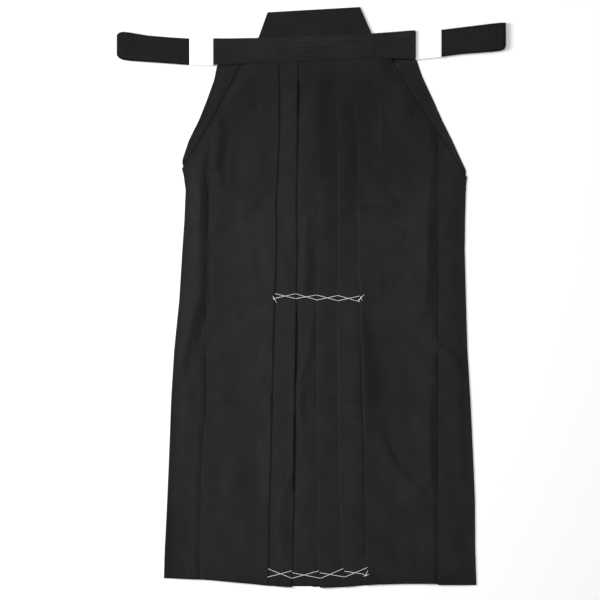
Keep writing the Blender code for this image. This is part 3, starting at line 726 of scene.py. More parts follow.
def pleated_surface(side):
    """A pleated width as one path across each level, in X that grows towards its folds' edges.

    Run: flat from the side, rising to the top layer. Fold: half circles at its edge and at its depth.
    Strip: out at the lowest layer, up a straight ramp, then level to the next fold.
    """
    sign = 1.0 if side == "right" else -1.0
    level = np.linspace(WAIST_LEVEL, HEM_LEVEL, FRONT_ROWS)[:, None]
    pleat = [along(PLEATS, level, number) for number in range(1, 6)]
    first = along(BASE, level, 1) + CLOTH / 2
    second = first + PITCH
    third = second + PITCH
    edge = -front_edge(level, side)
    if side == "right":
        folds = [pleat[0], pleat[1]]
        depths = [SIDE_DEPTH, pleat[1] - pleat[0] - SHALLOWER]
    else:
        folds = [-pleat[4], -pleat[3], -pleat[2]]
        depths = [SIDE_DEPTH, pleat[4] - pleat[3] - SHALLOWER, pleat[3] - pleat[2] - SHALLOWER]
    xs = []
    zs = []
    lifts = []

    def put(x, z, lift):
        """Add columns to the path: how far across, how high, and how much shorter at the hem."""
        for kept, values in zip((xs, zs, lifts), np.broadcast_arrays(x, z, lift)):
            kept.append(values)

    below_band = eased((BAND_HOLD - level) / HOLD_LENGTH)
    sewn = eased((side_of(SLIT_EDGE, level, side) + edge) / SEWN_REACH)
    for number, (fold, depth) in enumerate(zip(folds, depths)):
        last = fold - CLOTH / 2 - PITCH / 2
        if number:
            begin = folds[number - 1] + MARGIN
            after = fold - depth - MARGIN
            share = 1.0 - (1.0 - np.linspace(0.0, 1.0, STRIP_COLUMNS)[None, :]) ** STRIP_SPREAD
            x = begin + share * (last - begin)
            rise = np.clip((x - begin) / (after - begin), 0.0, 1.0)
            base = STRIP_PUFF
            room = eased((x - begin) / STRIP_ROOM) * eased((last - x) / FOLD_FALL)
            settled = 0.0
        else:
            stop = fold - depth - MARGIN
            share = 1.0 - (1.0 - np.linspace(0.0, 1.0, RUN_COLUMNS)[None, :]) ** RUN_SPREAD
            x = edge + share * (last - edge)
            rise = eased((x - stop + RISE_LENGTH) / RISE_LENGTH)
            flatter = eased((x - stop + RISE_LENGTH) / (depth + RISE_LENGTH))
            base = PUFF + (STRIP_PUFF - PUFF) * flatter
            room = np.maximum(eased((x - edge) / EDGE_ROOM), sewn) * eased((last - x) / FOLD_FALL)
            fallen = eased((SETTLE_FROM[side] - level) / SETTLE_LENGTH) * (1.0 - sewn)
            settled = eased(1.0 - (x - edge) / SLIT_REACH) * (first - SLIT_HEIGHT) * fallen
        height = np.maximum(base + soft_height(sign * x, level), LEAST_HEIGHT) * room
        lip = FOLD_LIP * np.exp(-(((last - x - FOLD_LIP_WIDTH) / FOLD_LIP_WIDTH) ** 2))
        gape = along(GAPE, level, 1) if side == "right" and number == 1 else 0.0 * level
        lifted = gape * eased(1.0 - (last - x) / GAPE_REACH)
        put(x, first - settled + rise * 2 * PITCH + (height + lip) * below_band + lifted, 0.0)
        x, z = turn_columns(fold, third, second, 1.0)
        put(x, z + gape, np.where(z > second + PITCH / 2, 0.0, RETURN_LIFT))
        if side == "left" and number == 2:
            put(fold - depth + GAP, second, RETURN_LIFT)
            continue
        x, z = turn_columns(fold - depth, second, first, -1.0)
        put(x, z, RETURN_LIFT)
    if side == "right":
        start = pleat[1] + MARGIN
        share = np.linspace(0.0, 1.0, CENTRE_COLUMNS)[None, :]
        x = start + share * (pleat[2] - start)
        height = np.maximum(CENTRE_PUFF + soft_height(x, level), LEAST_HEIGHT)
        height = height * np.sin(share * math.pi) ** 0.6 * below_band
        put(x, first + height, STRIP_LIFT)
        put(pleat[2] + (pleat[3] - pleat[2] - SHALLOWER), first, STRIP_LIFT)
    x = sign * np.concatenate(xs, axis=1)
    z = np.concatenate(zs, axis=1)
    lift = np.concatenate(lifts, axis=1)
    y = levels_to_hem(WAIST_LEVEL, FRONT_ROWS, HEM[side], x) + lift * near_hem(FRONT_ROWS)
    surface = np.stack(np.broadcast_arrays(x, y, z), axis=2)
    return surface[::-1] if side == "right" else surface[::-1, ::-1]


# Patches of painted shade on the left front alone, over strips that tilt away from the light, which end at
# its first fold
LEFT_TONES = [
    (13, 345, 14, 215, -0.20, 26, 24),
    (16, 320, 20, 165, -0.13, 20, 18),
]

front_cloth = cloth_material("front cloth", CLOTH_COLOUR, toned=True)
front_items = {}
for side in ("right", "left"):
    front_items[side] = add_shell("pleated_front_" + side, pleated_surface(side), front_cloth)
    # painted shade and light from the tone tables
    add_tone(front_items[side], TONES if side == "right" else TONES + LEFT_TONES)

# The outer front widths: plain cloth sewn on beyond the pleated widths. Below the slits they curl round
# the back's edge, where the side seam is.
SIDE_ROWS = 260
SIDE_COLUMNS = 40
CURL_COLUMNS = 8
CURL_RADIUS = 1.2
CURL_TAIL = 0.06
CURL_LENGTH = CURL_RADIUS * math.pi / 2 + CURL_TAIL
SIDE_TOPS = {"right": 273.0, "left": 275.0}
OPENS_OVER = 18.0
SIDE_ROOM = 26.0
HEM_FROM = -380.0


def outer_surface(side):
    """From the seam flat to the outer edge, then a quarter circle down and a short tail.

    The quarter circle opens out to a straight line above the slit's end.
    """
    sign = -1.0 if side == "right" else 1.0
    top = SIDE_TOPS[side]
    slit_end = SLIT_END[side]
    level = (top + np.linspace(0.0, 1.0, SIDE_ROWS) ** 1.15 * (HEM_LEVEL - top))[:, None]
    curl = eased((slit_end + 4.0 - level) / OPENS_OVER)
    slant = side_of(SLIT_EDGE, level, side)
    limit = side_of(OUTLINE, level, side)
    edge = np.where(level < slit_end, limit, np.minimum(slant, limit))
    seam = side_of(SEAM, level, side) + SEAM_GAP / 2
    short = np.clip((edge - seam) / (2 * CURL_LENGTH), 0.05, 1.0)
    start = edge - (CURL_LENGTH * (1.0 - curl) + SIDE_INSET * curl) * short
    share = np.linspace(0.0, 1.0, SIDE_COLUMNS)[None, :]
    first = BASE[-1, 1] + CLOTH / 2
    flat_x = seam + share * (start - seam)
    flat_z = np.full(flat_x.shape, first)
    angle = np.maximum(curl, 0.001) * math.pi / 2
    radius = CURL_RADIUS * short * (math.pi / 2) / angle
    part = np.linspace(0.15, 1.0, CURL_COLUMNS)[None, :] * angle
    curl_x = start + radius * np.sin(part)
    curl_z = first - radius * (1.0 - np.cos(part))
    tail_x = curl_x[:, -1:] + CURL_TAIL * short * np.cos(angle)
    tail_z = curl_z[:, -1:] - CURL_TAIL * short * np.sin(angle)
    x = np.concatenate([flat_x, curl_x, tail_x], axis=1)
    z = np.concatenate([flat_z, curl_z, tail_z], axis=1)
    room = eased((start - x) / SIDE_ROOM)
    height = np.maximum(PUFF + soft_height(sign * x, level), LEAST_HEIGHT) * room
    shorter = along(HEM[side], sign * x, 1) - HEM_LEVEL
    y = level + shorter * eased((HEM_FROM - level) / (HEM_FROM - HEM_LEVEL))
    surface = np.stack([sign * x, y, z + height], axis=2)
    return surface[::-1] if side == "left" else surface[::-1, ::-1]


for side, under in back_items.items():
    item = add_shell("outer_front_" + side, outer_surface(side), front_cloth)
    # painted shade and light from the tone table
    add_tone(item)
    finish_cloth(item, "front_side_" + side)

# The white basting threads: two crossing threads that hold the pleats flat until the trousers are
# worn, one row at knee height and one just above the hem, each knotted at its ends.
THREAD_RADIUS = 0.34
THREAD_SIDES = 8
THREAD_STEPS = 14
THREAD_COLOUR = (0.86, 0.86, 0.85, 1.0)
THREAD_HEIGHT = 4.0
LOWER_BOW = 0.2
UPPER_BOW = 1.1
TAIL_BOW = 1.2
KNOT_SIZE = 0.9
KNOT_RISE = 0.4
KNOT_THICKER = 1.3
# Each thread's two ends, X and Y in turn: a lower and an upper one at each crossing
CROSSES = np.array([
    (-60, 6, -26, -2.2),
    (-60, -1.8, -26, 6),
    (-26, 6, 9.5, -4.6),
    (-26, -2.2, 9.5, 3.8),
    (9.5, 3.8, 44.4, -5.8),
    (9.5, -4.6, 44.4, 3),
    (44.4, 3, 80.4, -7.5),
    (44.4, -5.8, 80.4, 2.2),
    (-71.8, -450.2, -32.3, -466.1),
    (-72.8, -464.3, -32, -453.5),
    (-32, -456.8, 15.5, -466.1),
    (-32.3, -466.1, 12.7, -453.8),
    (13.7, -456.8, 55.7, -464),
    (15.5, -466.1, 53.2, -449.9),
    (55, -454.3, 88.4, -459.3),
    (55.7, -464, 93.4, -448),
])
# Loose tails from the knots, and the knots' places
TAILS = np.array([
    (-61.5, -2.2, -57.4, -9),
    (-61.5, -2.2, -63.5, 2),
    (79.1, -4.6, 87.6, 4.6),
    (82.4, -0.5, 84.5, -5),
    (90.2, -461.2, 93.7, -453.5),
    (90.2, -461.2, 95.9, -459.8),
    (90.2, -461.2, 86.6, -462.6),
])
KNOTS = np.array([(-61.5, -2.2), (79.1, -4.6), (82.4, -0.5), (90.2, -461.2)])


def tubes(paths, radius, sides=THREAD_SIDES):
    """Round threads: rings of a radius carried along each path, square to its run.

    Paths is threads by steps by 3. Each ring is cos times sideways plus sin times upwards, and the rings
    at a thread's ends shrink to nearly nothing.
    """
    run = np.gradient(paths, axis=1)
    run /= np.linalg.norm(run, axis=2, keepdims=True)
    up = np.array([0.0, 0.0, 1.0])
    sideways = np.cross(run, up)
    sideways /= np.linalg.norm(sideways, axis=2, keepdims=True)
    upright = np.cross(sideways, run)
    angle = np.linspace(0.0, 2 * math.pi, sides, endpoint=False)[None, None, :, None]
    steps = paths.shape[1]
    taper = np.ones(steps)
    taper[[0, -1]] = 0.02
    size = radius * taper[None, :, None, None]
    rings = np.cos(angle) * sideways[:, :, None] + np.sin(angle) * upright[:, :, None]
    points = paths[:, :, None] + size * rings
    number = np.arange(points[..., 0].size).reshape(points.shape[:3])
    right = np.roll(number, -1, axis=2)
    faces = np.stack([number[:, :-1], number[:, 1:], right[:, 1:], right[:, :-1]], axis=-1)
    return points.reshape(-1, 3), faces.reshape(-1, 4)


def thread_paths(ends, bow):
    """Straight in plan from end to end, rising by a bow at the middle, its steps shorter at the ends."""
    share = 0.5 - 0.5 * np.cos(np.linspace(0.0, math.pi, THREAD_STEPS))[None, :]
    x = ends[:, 0:1] + share * (ends[:, 2:3] - ends[:, 0:1])
    y = ends[:, 1:2] + share * (ends[:, 3:4] - ends[:, 1:2])
    z = THREAD_HEIGHT + bow[:, None] * np.sin(share * math.pi)
    return np.stack([x, y, z], axis=2)


def plain_material(name, colour, rough):
    """One even colour with no pattern."""
    material = bpy.data.materials.new(name)
    material.use_nodes = True
    shader = material.node_tree.nodes["Principled BSDF"]
    shader.inputs["Base Color"].default_value = colour
    shader.inputs["Roughness"].default_value = rough
    return material


white_thread = plain_material("white thread", THREAD_COLOUR, 0.7)
bows = np.where(np.arange(len(CROSSES)) % 2 == 0, LOWER_BOW, UPPER_BOW)
crossing = tubes(thread_paths(CROSSES, bows), THREAD_RADIUS)
loose = tubes(thread_paths(TAILS, np.full(len(TAILS), TAIL_BOW)), THREAD_RADIUS)
turning = np.linspace(0.0, 2 * math.pi, THREAD_STEPS)[None, :]
knot_x = KNOTS[:, 0:1] + KNOT_SIZE * np.cos(turning)
knot_y = KNOTS[:, 1:2] + KNOT_SIZE * np.sin(turning)
knot_z = THREAD_HEIGHT + KNOT_RISE + KNOT_RISE * np.sin(2 * turning)
knot_paths = np.stack(np.broadcast_arrays(knot_x, knot_y, knot_z), axis=2)
knots = tubes(knot_paths, THREAD_RADIUS * KNOT_THICKER)
thread_points = []
thread_faces = []
for points, faces in (crossing, loose, knots):
    thread_faces.append(faces + sum(len(other) for other in thread_points))
    thread_points.append(points)
basting = add_mesh(
    "basting_threads", np.concatenate(thread_points), np.concatenate(thread_faces), white_thread
)
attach(basting, "root")

for side, area in (("right", 0.25), ("left", 0.27)):
    under = list(back_items.values())
    item = front_items[side]
    finish_cloth(item, "front_" + side)

# The stiff board at the top of the back: card covered in the same cloth, its edges turned and pressed
# round the card.
BOARD_THICK = 3.0
BOARD_ROUND = 0.9
BOARD_CORNERS = np.array([(-102, 391.5), (120.5, 391.5), (80.8, 481.8), (-72.5, 473)])
BOARD_SPAN = 170.0
BOARD_HEIGHT = 85.0
BOARD_GRID = 60
# The board's colour is darker than the legs', though it is the same cloth: painted shade
BOARD_COLOUR = (0.0090, 0.0090, 0.0090, 1.0)


def board_surface(lower):
    """One face of the board, straight both ways between its four corners.

    Near an edge it turns as a quarter circle towards the board's middle, from above or from below.
    """
    across = np.linspace(0.0, 1.0, BOARD_GRID)
    across = 0.5 - 0.5 * np.cos(across * math.pi)
    u = across[None, :, None]
    v = across[:, None, None]
    low = BOARD_CORNERS[0] * (1 - u) + BOARD_CORNERS[1] * u
    top = BOARD_CORNERS[3] * (1 - u) + BOARD_CORNERS[2] * u
    plan = low * (1 - v) + top * v
    far = np.minimum(np.minimum(u, 1 - u) * BOARD_SPAN, np.minimum(v, 1 - v) * BOARD_HEIGHT)
    near = np.clip(1.0 - far[:, :, 0] / BOARD_ROUND, 0.0, 1.0)
    drop = BOARD_THICK / 2 * (1.0 - np.sqrt(1.0 - near**2))
    z = drop if lower else BOARD_THICK - drop
    return np.concatenate([plan, z[:, :, None]], axis=2)


board_cloth = cloth_material("board cloth", BOARD_COLOUR, grain=0.7)
board_top = board_surface(False)
board_low = board_surface(True)
number = np.arange(BOARD_GRID * BOARD_GRID).reshape(BOARD_GRID, BOARD_GRID)
upper = np.stack([number[:-1, :-1], number[:-1, 1:], number[1:, 1:], number[1:, :-1]], axis=-1)
lower = np.stack([number[:-1, :-1], number[1:, :-1], number[1:, 1:], number[:-1, 1:]], axis=-1)
board_points = np.concatenate([board_top.reshape(-1, 3), board_low.reshape(-1, 3)])
board_faces = np.concatenate([upper.reshape(-1, 4), lower.reshape(-1, 4) + number.size])
board = add_mesh("back_board_cover", board_points, board_faces, board_cloth, board_points[:, :2])
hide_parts("back_board")
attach(board, "root")

# The waistband of the front: a long strip folded over the top of the pleats and stitched through in
# five rows, so that it puffs between them. Its ends run on as the long straps.
BAND_COLUMNS_TOP = 70
BAND_ROWS_ALONG = 330
BAND_PUFF = 0.55
BAND_COLOUR = (0.0140, 0.0139, 0.0137, 1.0)
BAND_ROWS = (0.17, 0.36, 0.54, 0.76, 0.97)
PUFF_POWER = 0.8
JOIN_AT = (-17.0,)
TUCKS_AT = (107.5, 119.0)
LOW_TUCKS_AT = (130.0, 137.0, 144.0, 151.0)
BOW_CENTRE = (141.0, 409.0)
BOW_RADII = (28.0, 27.0)
BOW_SHARPNESS = 19.0
BOW_FROM = (136.0, 398.0)
# X, lower edge, upper edge, middle of the under layer, middle of the upper layer in its stitched rows
BAND = np.array([
    (-161.2, 385, 429, 9.5, 10.8),
    (-156, 385.4, 429, 8.8, 10.4),
    (-146, 386, 429.1, 6.4, 9.3),
    (-133, 386.7, 429.3, 4.4, 8.1),
    (-118, 387.3, 429.6, 3.8, 7.5),
    (-100, 388, 429.9, 3.8, 7.3),
    (-84, 388.4, 430.1, 3.8, 7.3),
    (-52, 389, 431.2, 3.8, 7.3),
    (-17, 391.5, 432.6, 3.8, 7.2),
    (5, 392.6, 433.8, 3.8, 7.3),
    (26, 393.5, 435, 3.8, 7.4),
    (74.5, 395.5, 436.6, 3.8, 7.3),
    (100, 396, 437.6, 3.8, 7.3),
    (116, 396, 438.6, 3.8, 7.4),
    (134, 396, 439.9, 3.9, 7.9),
    (148, 395.7, 440.9, 5.4, 8.8),
    (162, 395, 441.9, 8.2, 10.1),
    (172.3, 394.5, 442.5, 9.5, 10.8),
])


def puffed(share, rows):
    """Height between stitched rows: a half sine wave, to a power, from each row to the next."""
    total = np.zeros(np.shape(share))
    for low, high in zip(rows[:-1], rows[1:]):
        part = np.clip((share - low) / (high - low), 0.0, 1.0)
        total = total + np.sin(part * math.pi) ** PUFF_POWER
    return total


def dented(x, places, width):
    """Soft troughs across the band, e to the minus (distance from a place over the width) squared."""
    return sum(np.exp(-(((x - place) / width) ** 2)) for place in places)


def band_surface():
    """Across each X: the under layer, half a circle round the top edge, then the upper layer.

    The upper layer puffs between its rows, less its troughs: a join, tucks by the strap, short ones low
    down, and a bowed one, which is part of an oval round its centre.
    """
    x = np.linspace(BAND[0, 0], BAND[-1, 0], BAND_ROWS_ALONG)[:, None]
    low, top, under, over = [along(BAND, x, number) for number in range(1, 5)]
    radius = (over - under) / 2
    shoulder = top - CLOTH / 2 - radius
    share = np.linspace(0.0, 1.0, 8)[None, :]
    under_y = low + 1.5 + share * (shoulder - low - 1.5)
    under_z = np.broadcast_to(under, under_y.shape)
    angle = np.radians(np.linspace(-80.0, 80.0, 12))[None, :]
    turn_y = shoulder + radius * np.cos(angle)
    turn_z = under + radius + radius * np.sin(angle)
    share = np.linspace(0.0, 1.0, BAND_COLUMNS_TOP)[None, :]
    over_y = shoulder + share * (low - shoulder)
    place = (top - over_y) / (top - low)
    waver = 0.12 * np.sin(x * 0.9 + place * 9.0) + 0.1 * np.sin(x * 0.31 + 2.0)
    ring = np.hypot((x - BOW_CENTRE[0]) / BOW_RADII[0], (over_y - BOW_CENTRE[1]) / BOW_RADII[1])
    bowed = eased((x - BOW_FROM[0]) / 10.0) * eased((over_y - BOW_FROM[1]) / 12.0)
    trough = 0.5 * dented(x, JOIN_AT, 0.8) + 0.35 * dented(x, TUCKS_AT, 0.8)
    trough = trough + 0.25 * dented(x, LOW_TUCKS_AT, 0.9) * eased((place - 0.4) / 0.2)
    trough = trough + 0.6 * bowed * np.exp(-(((ring - 1.0) * BOW_SHARPNESS) ** 2))
    over_z = over + BAND_PUFF * puffed(place, (0.0, *BAND_ROWS)) * (1.0 + waver)
    over_z = over_z - trough * np.sin(share * math.pi) ** 0.4
    y = np.concatenate([under_y, turn_y, over_y], axis=1)
    z = np.concatenate([under_z, turn_z, over_z], axis=1)
    return np.stack(np.broadcast_arrays(x, y, z), axis=2)


band_cloth = cloth_material("band cloth", BAND_COLOUR, grain=0.8, toned=True)
band = add_shell("waistband", band_surface(), band_cloth)
# painted shade and light from the tone table
add_tone(band)

# The stitching of the waistband: black thread a little paler than the cloth, in short stitches that
# lie in the band's five rows.
STITCH_LENGTH = 2.6
STITCH_PITCH = 4.2
STITCH_RADIUS = 0.28
STITCH_STEPS = 5
STITCH_SIDES = 5
STITCH_ARCH = 0.22
STITCH_SUNK = 0.1
STITCHED = (-160.0, 171.0)
STITCHED_ROWS = (*BAND_ROWS[:4], 0.93)
DARK_THREAD = (0.040, 0.040, 0.040, 1.0)


def stitch_rows(table, x_from, x_to, rows):
    """Short threads along X at each row's share of the way down between a table's edges.

    There is one every pitch, each a shallow arch. Two slow sine waves sink some more than others, and
    all of them sink a little past the last pleats.
    """
    count = int((x_to - x_from) / STITCH_PITCH)
    start = x_from + np.arange(count) * STITCH_PITCH
    share = np.linspace(0.0, 1.0, STITCH_STEPS)
    x = start[:, None] + share[None, :] * STITCH_LENGTH
    low = along(table, x, 1)
    top = along(table, x, 2)
    paths = []
    for row in rows:
        sunk = 0.17 * np.sin(x * 0.07 + row * 17.0) + 0.13 * np.sin(x * 0.31 + row * 5.0) - 0.12
        sunk = sunk - 0.18 * eased((np.abs(x) - 88.0) / 20.0)
        z = STITCH_ARCH * np.sin(share * math.pi)[None, :] + sunk
        paths.append(np.stack([x, top - row * (top - low), z], axis=2))
    return np.concatenate(paths)


dark_thread = plain_material("dark thread", DARK_THREAD, 0.5)
paths = stitch_rows(BAND, *STITCHED, STITCHED_ROWS)
paths[..., 2] += along(BAND, paths[..., 0], 4) + CLOTH / 2 - STITCH_SUNK
points, faces = tubes(paths, STITCH_RADIUS, STITCH_SIDES)
band_stitches = add_mesh("waistband_stitches", points, faces, dark_thread)
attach(band_stitches, "root")
under = list(front_items.values())
finish_cloth(band, "front_band")

# The straps' folded bundles: each long front strap is doubled, stitched along and folded back and
# forth, so that its passes show as layers round the edge. The back's short straps lie under them.
STRAP_FLOOR = 0.9
STRAP_PITCH = 0.7
FRONT_FLOOR = STRAP_FLOOR + 2 * STRAP_PITCH
PASSES = 6
PASS_STEPS = 7
BUNDLE_TOP = FRONT_FLOOR + PASSES * STRAP_PITCH
EDGE_ROUND = 0.6
STATIONS = 90
END_POINTS = 24
TOP_LOOPS = 34
SLIPS = (0.9, 0.2, 0.8, 0.0, 1.0, 0.6)
STRAP_ROWS = (0.1, 0.28, 0.46, 0.64, 0.82)
STRAP_PUFF = 0.3
MIDDLE_INSET = 18.0
FOOT_INSET = 4.0
# The straps' colour is darker than the band's, though it is the same cloth: painted shade
STRAP_COLOUR = (0.0082, 0.0082, 0.0082, 1.0)
STRAP_THREAD = (0.012, 0.012, 0.012, 1.0)
# X, lower edge, upper edge, from the waist outwards
STRAPS = {
    "right": np.array([
        (-163, 385, 429),
        (-201.5, 385, 429),
        (-234.5, 387.5, 431),
        (-271, 390, 434),
        (-300, 392, 439),
        (-312.5, 393.6, 440.5),
        (-318.5, 396.4, 439),
        (-322.6, 401.5, 435),
    ]),
    "left": np.array([
        (174, 394.5, 442.5),
        (216, 399, 443.5),
        (247, 403, 447.5),
        (280, 405.5, 451.5),
        (300, 407, 454),
        (313, 408.5, 455.3),
        (320, 411, 455.6),
        (322.6, 416, 455.4),
    ]),
}


def bundle_plan(table):
    """The outline in plan: out along the upper edge, across the end, back along the lower edge, across."""
    x = np.linspace(table[0, 0], table[-1, 0], STATIONS)
    low = along(table, x, 1)
    top = along(table, x, 2)
    share = np.linspace(0.0, 1.0, END_POINTS + 2)[1:-1]
    upper = np.stack([x, top], axis=1)
    lower = np.stack([x, low], axis=1)[::-1]
    out = upper[-1] + share[:, None] * (lower[0] - upper[-1])
    back = lower[-1] + share[:, None] * (upper[0] - lower[-1])
    return np.concatenate([upper, out, lower, back])


def runs_left(plan):
    """Whether a closed outline runs anticlockwise: the sum of its corners' cross products is positive."""
    following = np.roll(plan, -1, axis=0)
    return (plan[:, 0] * following[:, 1] - plan[:, 1] * following[:, 0]).sum() > 0


def drawn_in(plan, inset):
    """The outline moved inwards by an inset, along the mean of its two edges' normals."""
    step = np.roll(plan, -1, axis=0) - np.roll(plan, 1, axis=0)
    step /= np.linalg.norm(step, axis=1, keepdims=True)
    inwards = np.stack([-step[:, 1], step[:, 0]], axis=1)
    return plan + inwards * inset * (1.0 if runs_left(plan) else -1.0)


def bundle_surface(table):
    """Closed loops from the bundle's foot up its layered edge, then over its top to its middle line.

    Each pass is half a circle in section. The top puffs between its rows of stitching.
    """
    plan = bundle_plan(table)
    loops = []
    for number in range(PASSES):
        share = np.linspace(0.0, 1.0, PASS_STEPS)
        if number < PASSES - 1:
            share = share[:-1]
        for part in share:
            bulge = EDGE_ROUND * (1.0 - math.sqrt(max(1.0 - (2 * part - 1.0) ** 2, 0.0)))
            ring = drawn_in(plan, bulge + 1.0 - SLIPS[number])
            z = FRONT_FLOOR + (number + part) * STRAP_PITCH
            loops.append(np.column_stack([ring, np.full(len(ring), z)]))
    rim = loops[-1]
    ends = sorted((table[0, 0], table[-1, 0]))
    middle_x = np.clip(rim[:, 0], ends[0] + MIDDLE_INSET, ends[1] - MIDDLE_INSET)
    middle_y = (along(table, middle_x, 1) + along(table, middle_x, 2)) / 2
    for share in np.linspace(0.0, 1.0, TOP_LOOPS)[1:]:
        x = rim[:, 0] + share * (middle_x - rim[:, 0])
        y = rim[:, 1] + share * (middle_y - rim[:, 1])
        low = along(table, x, 1)
        top = along(table, x, 2)
        place = (top - y) / (top - low)
        rows = STRAP_PUFF * puffed(place, (0.0, *STRAP_ROWS, 1.0)) * eased(share * 6.0)
        waver = 0.12 * np.sin(x * 0.5) * eased(share * 4.0)
        loops.append(np.column_stack([x, y, BUNDLE_TOP + 0.1 * eased(share * 8.0) + rows + waver]))
    foot = loops[0].copy()
    foot[:, :2] = drawn_in(foot[:, :2], FOOT_INSET)
    return np.stack([foot, *loops])


def add_loops(name, loops, material):
    """A body through closed loops of equal count, its faces turned outwards and its ends closed."""
    count = loops.shape[1]
    number = np.arange(loops[..., 0].size).reshape(loops.shape[:2])
    right = np.roll(number, -1, axis=1)
    faces = np.stack([number[:-1], right[:-1], right[1:], number[1:]], axis=-1).reshape(-1, 4)
    half = count // 2
    first = np.arange(half - 1)
    cap = np.stack([first, count - 1 - first, count - 2 - first, first + 1], axis=-1)
    faces = np.concatenate([faces, cap])
    if not runs_left(loops[1]):
        faces = faces[:, ::-1]
    points = loops.reshape(-1, 3)
    return add_mesh(name, points, faces, material, points[:, 1::-1])


strap_cloth = cloth_material("strap cloth", STRAP_COLOUR, grain=0.8, toned=True)
strap_thread = plain_material("strap thread", STRAP_THREAD, 0.5)
for side, table in STRAPS.items():
    bundle = add_loops("strap_bundle_" + side, bundle_surface(table), strap_cloth)
    # painted shade along the straps' edges, from the tone table
    add_tone(bundle)
    ends = sorted((table[0, 0], table[-1, 0]))
    paths = stitch_rows(table, ends[0] + 5.0, ends[1] - 5.0, STRAP_ROWS)
    paths[..., 2] += BUNDLE_TOP + 0.05
    points, faces = tubes(paths, STITCH_RADIUS, STITCH_SIDES)
    strap_stitches = add_mesh("strap_stitches_" + side, points, faces, strap_thread)
    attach(strap_stitches, "root")
    finish_cloth(
        bundle, "front_strap_" + side
    )

# The short straps of the back: one pass from under the board's edge out to the fold, and one back
# above it. They are sewn on under the board's slanted sides.
BACK_STRAPS = {
    "right": np.array([
        (-88, 391.4, 429),
        (-120, 391.4, 428.6),
        (-154, 391.4, 428.4),
        (-160, 389, 428.2),
        (-201.5, 386.5, 428),
        (-260, 390.5, 431.5),
        (-318, 396, 437),
    ]),
    "left": np.array([
        (100, 395.2, 437),
        (130, 395.2, 439),
        (160, 395.2, 441),
        (173, 396.5, 441.5),
        (216, 400.5, 442.5),
        (260, 404.5, 448),
        (319, 411.5, 454),
    ]),
}
BACK_STRAP_ACROSS = 14
BACK_STRAP_STEPS = 50
BACK_STRAP_END = 182.0
# Two levels of the board's slanted side, each with how far out the side is there
BOARD_SIDES = {"right": ((391.5, 102.0), (429.5, 87.5)), "left": ((391.5, 120.5), (438.0, 100.0))}


def back_strap_surface(side, table):
    """Out along the ground from the board's slanted side, half a circle up at the fold, and back above."""
    sign = -1.0 if side == "right" else 1.0
    first = STRAP_FLOOR + CLOTH / 2
    second = first + STRAP_PITCH
    share = np.linspace(0.0, 1.0, BACK_STRAP_ACROSS)[:, None]
    near = table[0, 1] + share * (table[0, 2] - table[0, 1])
    (level_a, x_a), (level_b, x_b) = BOARD_SIDES[side]
    begin = x_a + (near - level_a) / (level_b - level_a) * (x_b - x_a) + 2 * GAP
    end = abs(table[-1, 0])
    radius = STRAP_PITCH / 2
    stop = end - CLOTH / 2 - radius
    part = np.linspace(0.0, 1.0, BACK_STRAP_STEPS)[None, :]
    angle = np.radians(np.linspace(-75.0, 75.0, 7))[None, :]
    runs = [
        (begin + part * (stop - begin), first),
        (stop + radius * np.cos(angle), (first + second) / 2 + radius * np.sin(angle)),
        (stop + part * (BACK_STRAP_END - stop), second),
    ]
    runs = [np.broadcast_arrays(run_x, run_z, near)[:2] for run_x, run_z in runs]
    x, z = np.concatenate(runs, axis=2)
    low = along(table, sign * x, 1)
    top = along(table, sign * x, 2)
    y = low + share * (top - low)
    surface = np.stack([sign * x, y, z], axis=2)
    return surface if side == "left" else surface[::-1]


for side, table in BACK_STRAPS.items():
    item = add_shell("back_strap_cloth_" + side, back_strap_surface(side, table), strap_cloth)
    finish_cloth(item, "back_strap_" + side)

# The white paper bands: a strip of smooth paper wrapped once round each bundle, close to the waistband's
# end, and glued beneath it.
PAPER = 0.6
PAPER_ENDS = {"right": (-202.0, -162.1), "left": (173.2, 216.0)}
PAPER_STEPS = 24
PAPER_CORNER = 1.2
PAPER_CROWN = 0.35
PAPER_COLOUR = (0.93, 0.93, 0.925, 1.0)


def paper_surface(ends, table):
    """A rounded rectangle round the bundle at each X, its middle line half the paper outside the gap."""
    x = np.linspace(ends[0], ends[1], PAPER_STEPS)[:, None]
    low = along(table, x, 1) - GAP - PAPER / 2
    top = along(table, x, 2) + GAP + PAPER / 2
    high = BUNDLE_TOP + GAP + PAPER / 2
    floor = PAPER / 2
    sides = []
    for y_mid, z_mid, start in (
        (low + PAPER_CORNER, floor + PAPER_CORNER, 180.0),
        (top - PAPER_CORNER, floor + PAPER_CORNER, 270.0),
        (top - PAPER_CORNER, high - PAPER_CORNER, 0.0),
        (low + PAPER_CORNER, high - PAPER_CORNER, 90.0),
    ):
        angle = np.radians(start + np.linspace(0.0, 90.0, 6))[None, :]
        sides.append((y_mid + PAPER_CORNER * np.cos(angle), z_mid + PAPER_CORNER * np.sin(angle)))
        if start == 0.0:
            part = np.linspace(0.0, 1.0, 22)[None, 1:-1]
            y = top - PAPER_CORNER + part * (low - top + 2 * PAPER_CORNER)
            sides.append((y, high + PAPER_CROWN * np.sin(part * math.pi)))
    y = np.concatenate([y for y, _ in sides], axis=1)
    z = np.concatenate([np.broadcast_to(z, (PAPER_STEPS, z.shape[1])) for _, z in sides], axis=1)
    surface = np.stack(np.broadcast_arrays(x, y, z), axis=2)
    return surface[::-1]


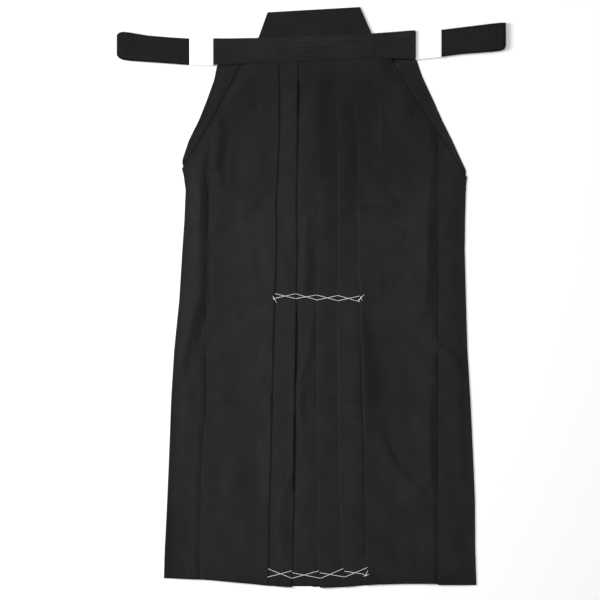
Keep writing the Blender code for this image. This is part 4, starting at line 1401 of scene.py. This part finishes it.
paper = plain_material("white paper", PAPER_COLOUR, 0.6)
for side, ends in PAPER_ENDS.items():
    item = add_shell("paper_wrap_" + side, paper_surface(ends, STRAPS[side]), paper, PAPER, True)
    finish_cloth(item, "paper_band_" + side)

# The photograph's setting: a plain pale ground, soft light from the upper left and a camera straight
# above, far enough off to see the cloth without perspective.
GROUND_SIZE = 6000.0
VIEW_WIDTH = 0.996
VIEW_CENTRE = (-0.0187, -0.0045)
CAMERA_HEIGHT = 5.0
SENSOR = 36.0
GROUND_BELOW = 0.0002
GROUND_COLOUR = (0.95, 0.95, 0.95, 1.0)
SKY_STRENGTH = 0.25
# Each light's place, its size and its power in watts
LIGHTS = {
    "left window": ((-3.0, 0.65, 1.9), 1.6, 145.0),
    "overhead": ((-0.1, 0.4, 3.6), 3.2, 64.0),
}

corners = np.array([(-1, -1, 0), (1, -1, 0), (1, 1, 0), (-1, 1, 0)]) * GROUND_SIZE / 2
paving = plain_material("pale ground", GROUND_COLOUR, 0.9)
ground = add_mesh("ground", corners, np.array([(0, 1, 2, 3)]), paving)
ground.location.z = -GROUND_BELOW


def add_light(name, place, size, power):
    """A square soft light at a place, facing the garment's middle."""
    light = bpy.data.lights.new(name, "AREA")
    light.shape = "SQUARE"
    light.size = size
    light.energy = power
    item = bpy.data.objects.new(name, light)
    item.location = place
    bpy.context.scene.collection.objects.link(item)
    distance = math.hypot(place[0], place[1])
    item.rotation_euler = (math.atan2(distance, place[2]), 0.0, math.atan2(place[0], -place[1]))


for name, (place, size, power) in LIGHTS.items():
    add_light(name, place, size, power)
world = bpy.data.worlds.new("studio")
world.use_nodes = True
sky = world.node_tree.nodes["Background"]
sky.inputs["Color"].default_value = (1.0, 1.0, 1.0, 1.0)
sky.inputs["Strength"].default_value = SKY_STRENGTH
bpy.context.scene.world = world
bpy.context.scene.view_settings.view_transform = "Standard"

lens = bpy.data.cameras.new("camera")
lens.sensor_width = SENSOR
lens.lens = SENSOR * CAMERA_HEIGHT / VIEW_WIDTH
lens.clip_end = 50.0
camera = bpy.data.objects.new("camera", lens)
camera.location = (*VIEW_CENTRE, CAMERA_HEIGHT)
bpy.context.scene.collection.objects.link(camera)
bpy.context.scene.camera = camera
